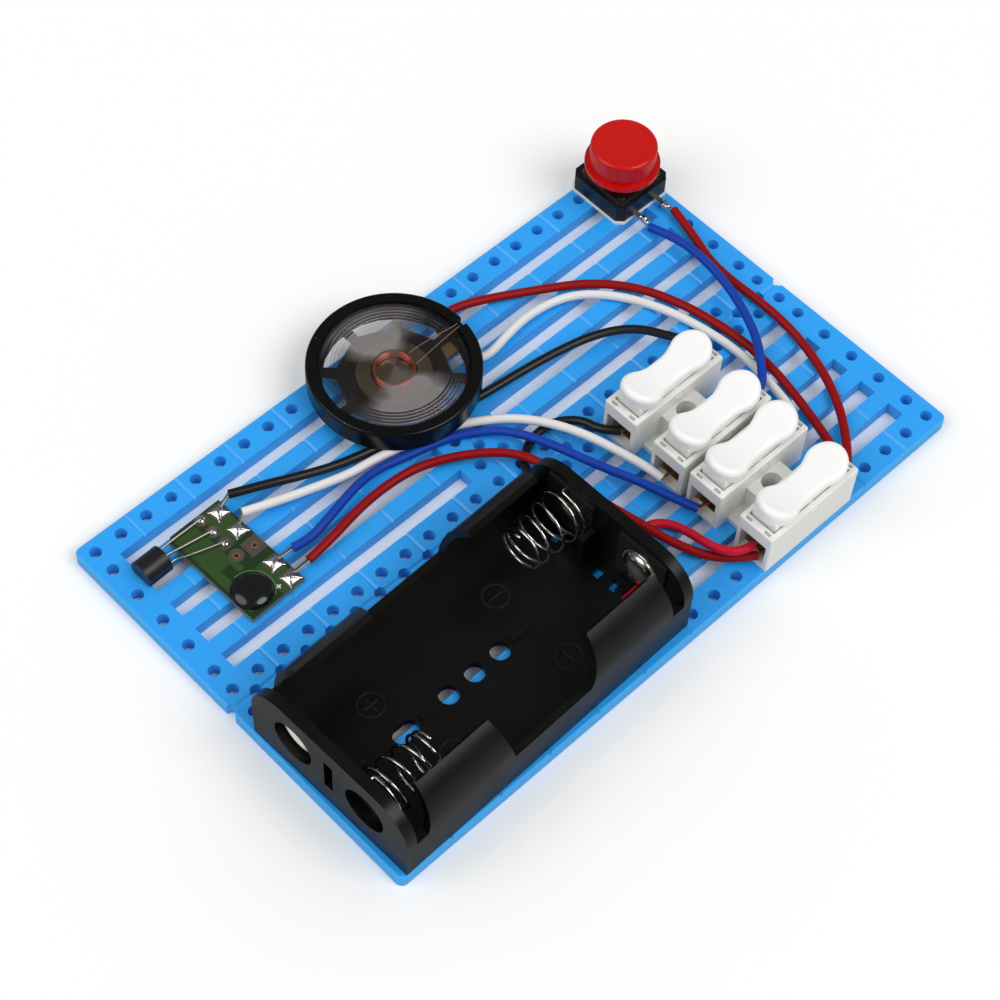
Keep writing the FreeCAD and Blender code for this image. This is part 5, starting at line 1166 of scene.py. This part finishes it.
WIRE_ROUTES: dict[str, tuple[str, Slot, float, list[Point]]] = {
    "wire_black_board": ("black_cover", Slot.BLACK, 90.5, [
        (-36.3, 28.3, 2.0), (-31.5, 26.0, 2.2), (-25.9, 23.4, 2.0), (-20.4, 21.5, 1.3), (-15.6, 20.5, 0.8),
        (-10.8, 19.3, 0.8), (-5.2, 18.0, 0.8), (0.6, 17.1, 0.8), (6.6, 15.9, 0.9), (13.4, 14.9, 1.5),
        (20.6, 13.6, 2.0), (28.0, 11.7, 2.3), (33.8, 8.1, 2.5), (37.0, 2.9, 2.2), (39.4, -0.7, 2.1),
        (39.1, -4.0, 2.1), (35.6, -5.1, 2.2),
    ]),
    "wire_white_board": ("white_cover", Slot.WHITE, 73.3, [
        (-36.7, 24.6, 1.5), (-31.3, 22.4, 1.6), (-24.6, 20.4, 1.2), (-19.2, 19.0, 0.8), (-14.8, 18.5, 0.8),
        (-10.4, 17.5, 0.8), (-5.2, 16.15, 0.8), (-1.4, 15.0, 0.8), (2.2, 12.9, 0.95), (6.4, 9.2, 1.9),
        (9.8, 4.1, 2.8), (12.7, -2.3, 3.0), (14.5, -9.5, 3.0), (15.3, -13.2, 2.9), (15.7, -15.6, 2.6),
    ]),
    "wire_blue_board": ("blue_cover", Slot.BLUE, 75.4, [
        (-35.0, 14.6, 1.1), (-32.4, 13.7, 1.6), (-27.5, 14.5, 2.1), (-20.6, 16.2, 1.8), (-15.6, 16.7, 1.0),
        (-11.2, 15.7, 0.8), (-6.4, 14.5, 0.8), (-2.4, 13.3, 0.8), (0.9, 11.2, 1.1), (4.0, 8.0, 2.1),
        (6.8, 1.8, 2.9), (9.9, -7.4, 2.8), (12.7, -13.6, 2.5), (14.3, -18.9, 2.4), (15.9, -23.2, 2.3),
    ]),
    "wire_red_board": ("red_cover", Slot.RED, 82.6, [
        (-34.6, 11.3, 1.1), (-30.0, 11.6, 1.5), (-23.7, 12.8, 1.4), (-17.9, 13.5, 0.9), (-11.8, 13.1, 0.8),
        (-7.2, 11.2, 1.2), (-3.2, 8.5, 1.9), (0.4, 5.2, 2.5), (3.0, 1.3, 2.8), (4.5, -6.0, 2.8),
        (5.6, -13.5, 2.8), (7.0, -18.9, 2.7), (8.2, -23.3, 2.0), (10.4, -28.4, 1.2), (13.3, -32.4, 1.1),
        (16.9, -35.2, 1.65),
    ]),
    "wire_red_speaker": ("red_cover", Slot.RED, 88.7, [
        (10.2, 29.8, 0.8), (11.6, 31.6, 0.8), (14.6, 32.2, 0.8), (19.6, 30.2, 0.9), (28.5, 25.2, 0.8),
        (35.7, 20.6, 0.9), (41.2, 14.0, 1.0), (44.4, 5.5, 1.0), (45.9, -4.5, 1.0), (45.4, -12.3, 0.9),
        (44.0, -19.0, 0.9), (42.0, -25.6, 1.3), (40.4, -29.7, 1.9), (38.4, -32.1, 2.2), (35.7, -32.9, 2.3),
    ]),
    "wire_white_speaker": ("white_cover", Slot.WHITE, 75.4, [
        (9.6, 24.2, 0.8), (10.4, 22.0, 0.8), (13.0, 21.0, 0.9), (18.2, 21.9, 1.1), (23.0, 22.5, 1.0),
        (28.7, 21.8, 0.9), (33.1, 19.8, 0.8), (36.9, 15.9, 0.8), (40.0, 10.8, 0.8), (42.3, 4.2, 0.8),
        (43.6, -3.2, 0.8), (43.6, -9.6, 0.8), (42.5, -15.4, 1.1), (41.3, -19.6, 1.7), (39.4, -22.6, 2.2),
        (35.6, -23.5, 2.3),
    ]),
    "wire_black_battery": ("black_cover", Slot.BLACK, 39.0, [
        (-2.6, -12.3, 2.15), (-0.4, -12.25, 2.15), (1.4, -11.6, 1.8), (1.9, -9.2, 1.1), (1.5, -5.2, 0.8),
        (1.0, -1.4, 0.8), (2.1, 1.6, 0.8), (4.4, 3.6, 0.8), (7.2, 4.6, 0.8), (10.0, 4.7, 0.8),
        (12.5, 3.8, 1.0), (14.7, 1.1, 1.7), (15.1, -2.3, 2.3), (17.3, -4.8, 2.6),
    ]),
    "wire_red_battery": ("pink_cover", Slot.PINK, 35.6, [
        (-4.4, -27.2, 2.15), (-0.6, -27.1, 2.15), (1.8, -26.6, 1.8), (3.3, -24.6, 1.1), (4.2, -21.6, 0.8),
        (6.4, -19.5, 0.8), (9.3, -19.6, 0.8), (11.4, -21.8, 1.0), (12.0, -25.2, 1.8), (11.9, -28.6, 2.8),
        (12.6, -31.4, 3.2), (14.4, -33.5, 3.3), (16.9, -34.0, 3.2),
    ]),
    "wire_blue_switch": ("blue_cover", Slot.BLUE, 44.5, [
        (51.4, 22.0, 1.25), (52.3, 17.4, 2.2), (52.2, 11.4, 3.1), (51.1, 4.7, 3.4), (49.0, -1.9, 3.4),
        (46.3, -7.3, 3.5), (43.4, -11.0, 3.2), (40.4, -14.3, 2.7), (35.7, -15.6, 2.4),
    ]),
    "wire_red_switch": ("red_cover", Slot.RED, 64.4, [
        (57.2, 21.9, 1.25), (55.9, 16.2, 1.0), (54.0, 10.2, 0.8), (53.7, 4.5, 0.8), (54.0, -1.1, 0.8),
        (53.8, -7.0, 0.8), (52.8, -12.6, 0.8), (50.8, -18.8, 0.9), (47.9, -24.2, 1.2), (44.9, -28.2, 1.5),
        (41.9, -31.4, 1.9), (38.9, -34.1, 2.2), (35.7, -35.2, 2.3),
    ]),
}

STRAND_ROUTES: dict[str, list[tuple[Point, Point]]] = {
    "board_strands": [
        ((-36.3, 28.3, 2.0), (-38.6, 27.6, 1.5)),
        ((-36.7, 24.6, 1.5), (-38.5, 23.3, 1.5)),
        ((-35.0, 14.6, 1.1), (-38.2, 14.5, 1.62)),
        ((-34.6, 11.3, 1.1), (-38.1, 10.9, 1.64)),
    ],
    "speaker_strands": [
        ((10.2, 29.8, 0.8), (8.5, 27.9, 0.8)),
        ((9.6, 24.2, 0.8), (8.5, 26.1, 0.8)),
    ],
    "battery_strands": [
        ((-2.6, -12.3, 2.15), (-3.3, -12.3, 2.25)),
        ((-4.4, -27.2, 2.15), (-5.1, -27.2, 2.25)),
    ],
    "switch_strands": [
        ((51.4, 22.0, 1.25), (51.9, 22.7, 1.2)),
        ((57.2, 21.9, 1.25), (56.9, 22.7, 1.2)),
    ],
    "connector_strands": [
        ((17.3, -4.8, 2.6), (20.6, -5.0, 1.8)),
        ((15.7, -15.6, 2.6), (20.6, -15.6, 1.8)),
        ((15.9, -23.2, 2.3), (20.6, -23.4, 1.75)),
        ((16.9, -35.2, 1.65), (20.6, -35.0, 1.6)),
        ((16.9, -34.0, 3.2), (20.6, -33.8, 2.3)),
        ((35.6, -5.1, 2.2), (32.0, -5.0, 1.8)),
        ((35.7, -15.6, 2.4), (32.0, -15.6, 1.9)),
        ((35.6, -23.5, 2.3), (32.0, -23.5, 1.8)),
        ((35.7, -32.9, 2.3), (32.0, -33.2, 1.9)),
        ((35.7, -35.2, 2.3), (32.0, -35.0, 1.8)),
    ],
}


def main() -> None:
    """Builds the studio and every piece in order."""
    logging.basicConfig(level=logging.INFO, format="%(name)s: %(message)s")
    Studio().build()
    wardrobe = Wardrobe()
    for name, finish in DRESSED_NODES.items():
        wardrobe.dress(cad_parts[name], finish)
    wires = Wires(wardrobe)
    for name, wire in WIRE_ROUTES.items():
        wires.lay(name, *wire)
    for name, ends in STRAND_ROUTES.items():
        wires.twist(name, ends)
    springs = BatterySprings(wardrobe)
    springs.wind("battery_spring_far", -1.0, 1.0)
    springs.wind("battery_spring_near", 1.0, -1.0)
    SpeakerFilm(wardrobe).press()
    VoiceCoil(wardrobe).wind()
    CoilLeads(wardrobe).stretch()
    ContactBack(wardrobe).press()
    board = SoundBoard(wardrobe)
    board.solder()
    board.pour()
    SwitchSolder(wardrobe).drop()
    SnapDome(wardrobe).press()


if __name__ == "__main__":
    main()
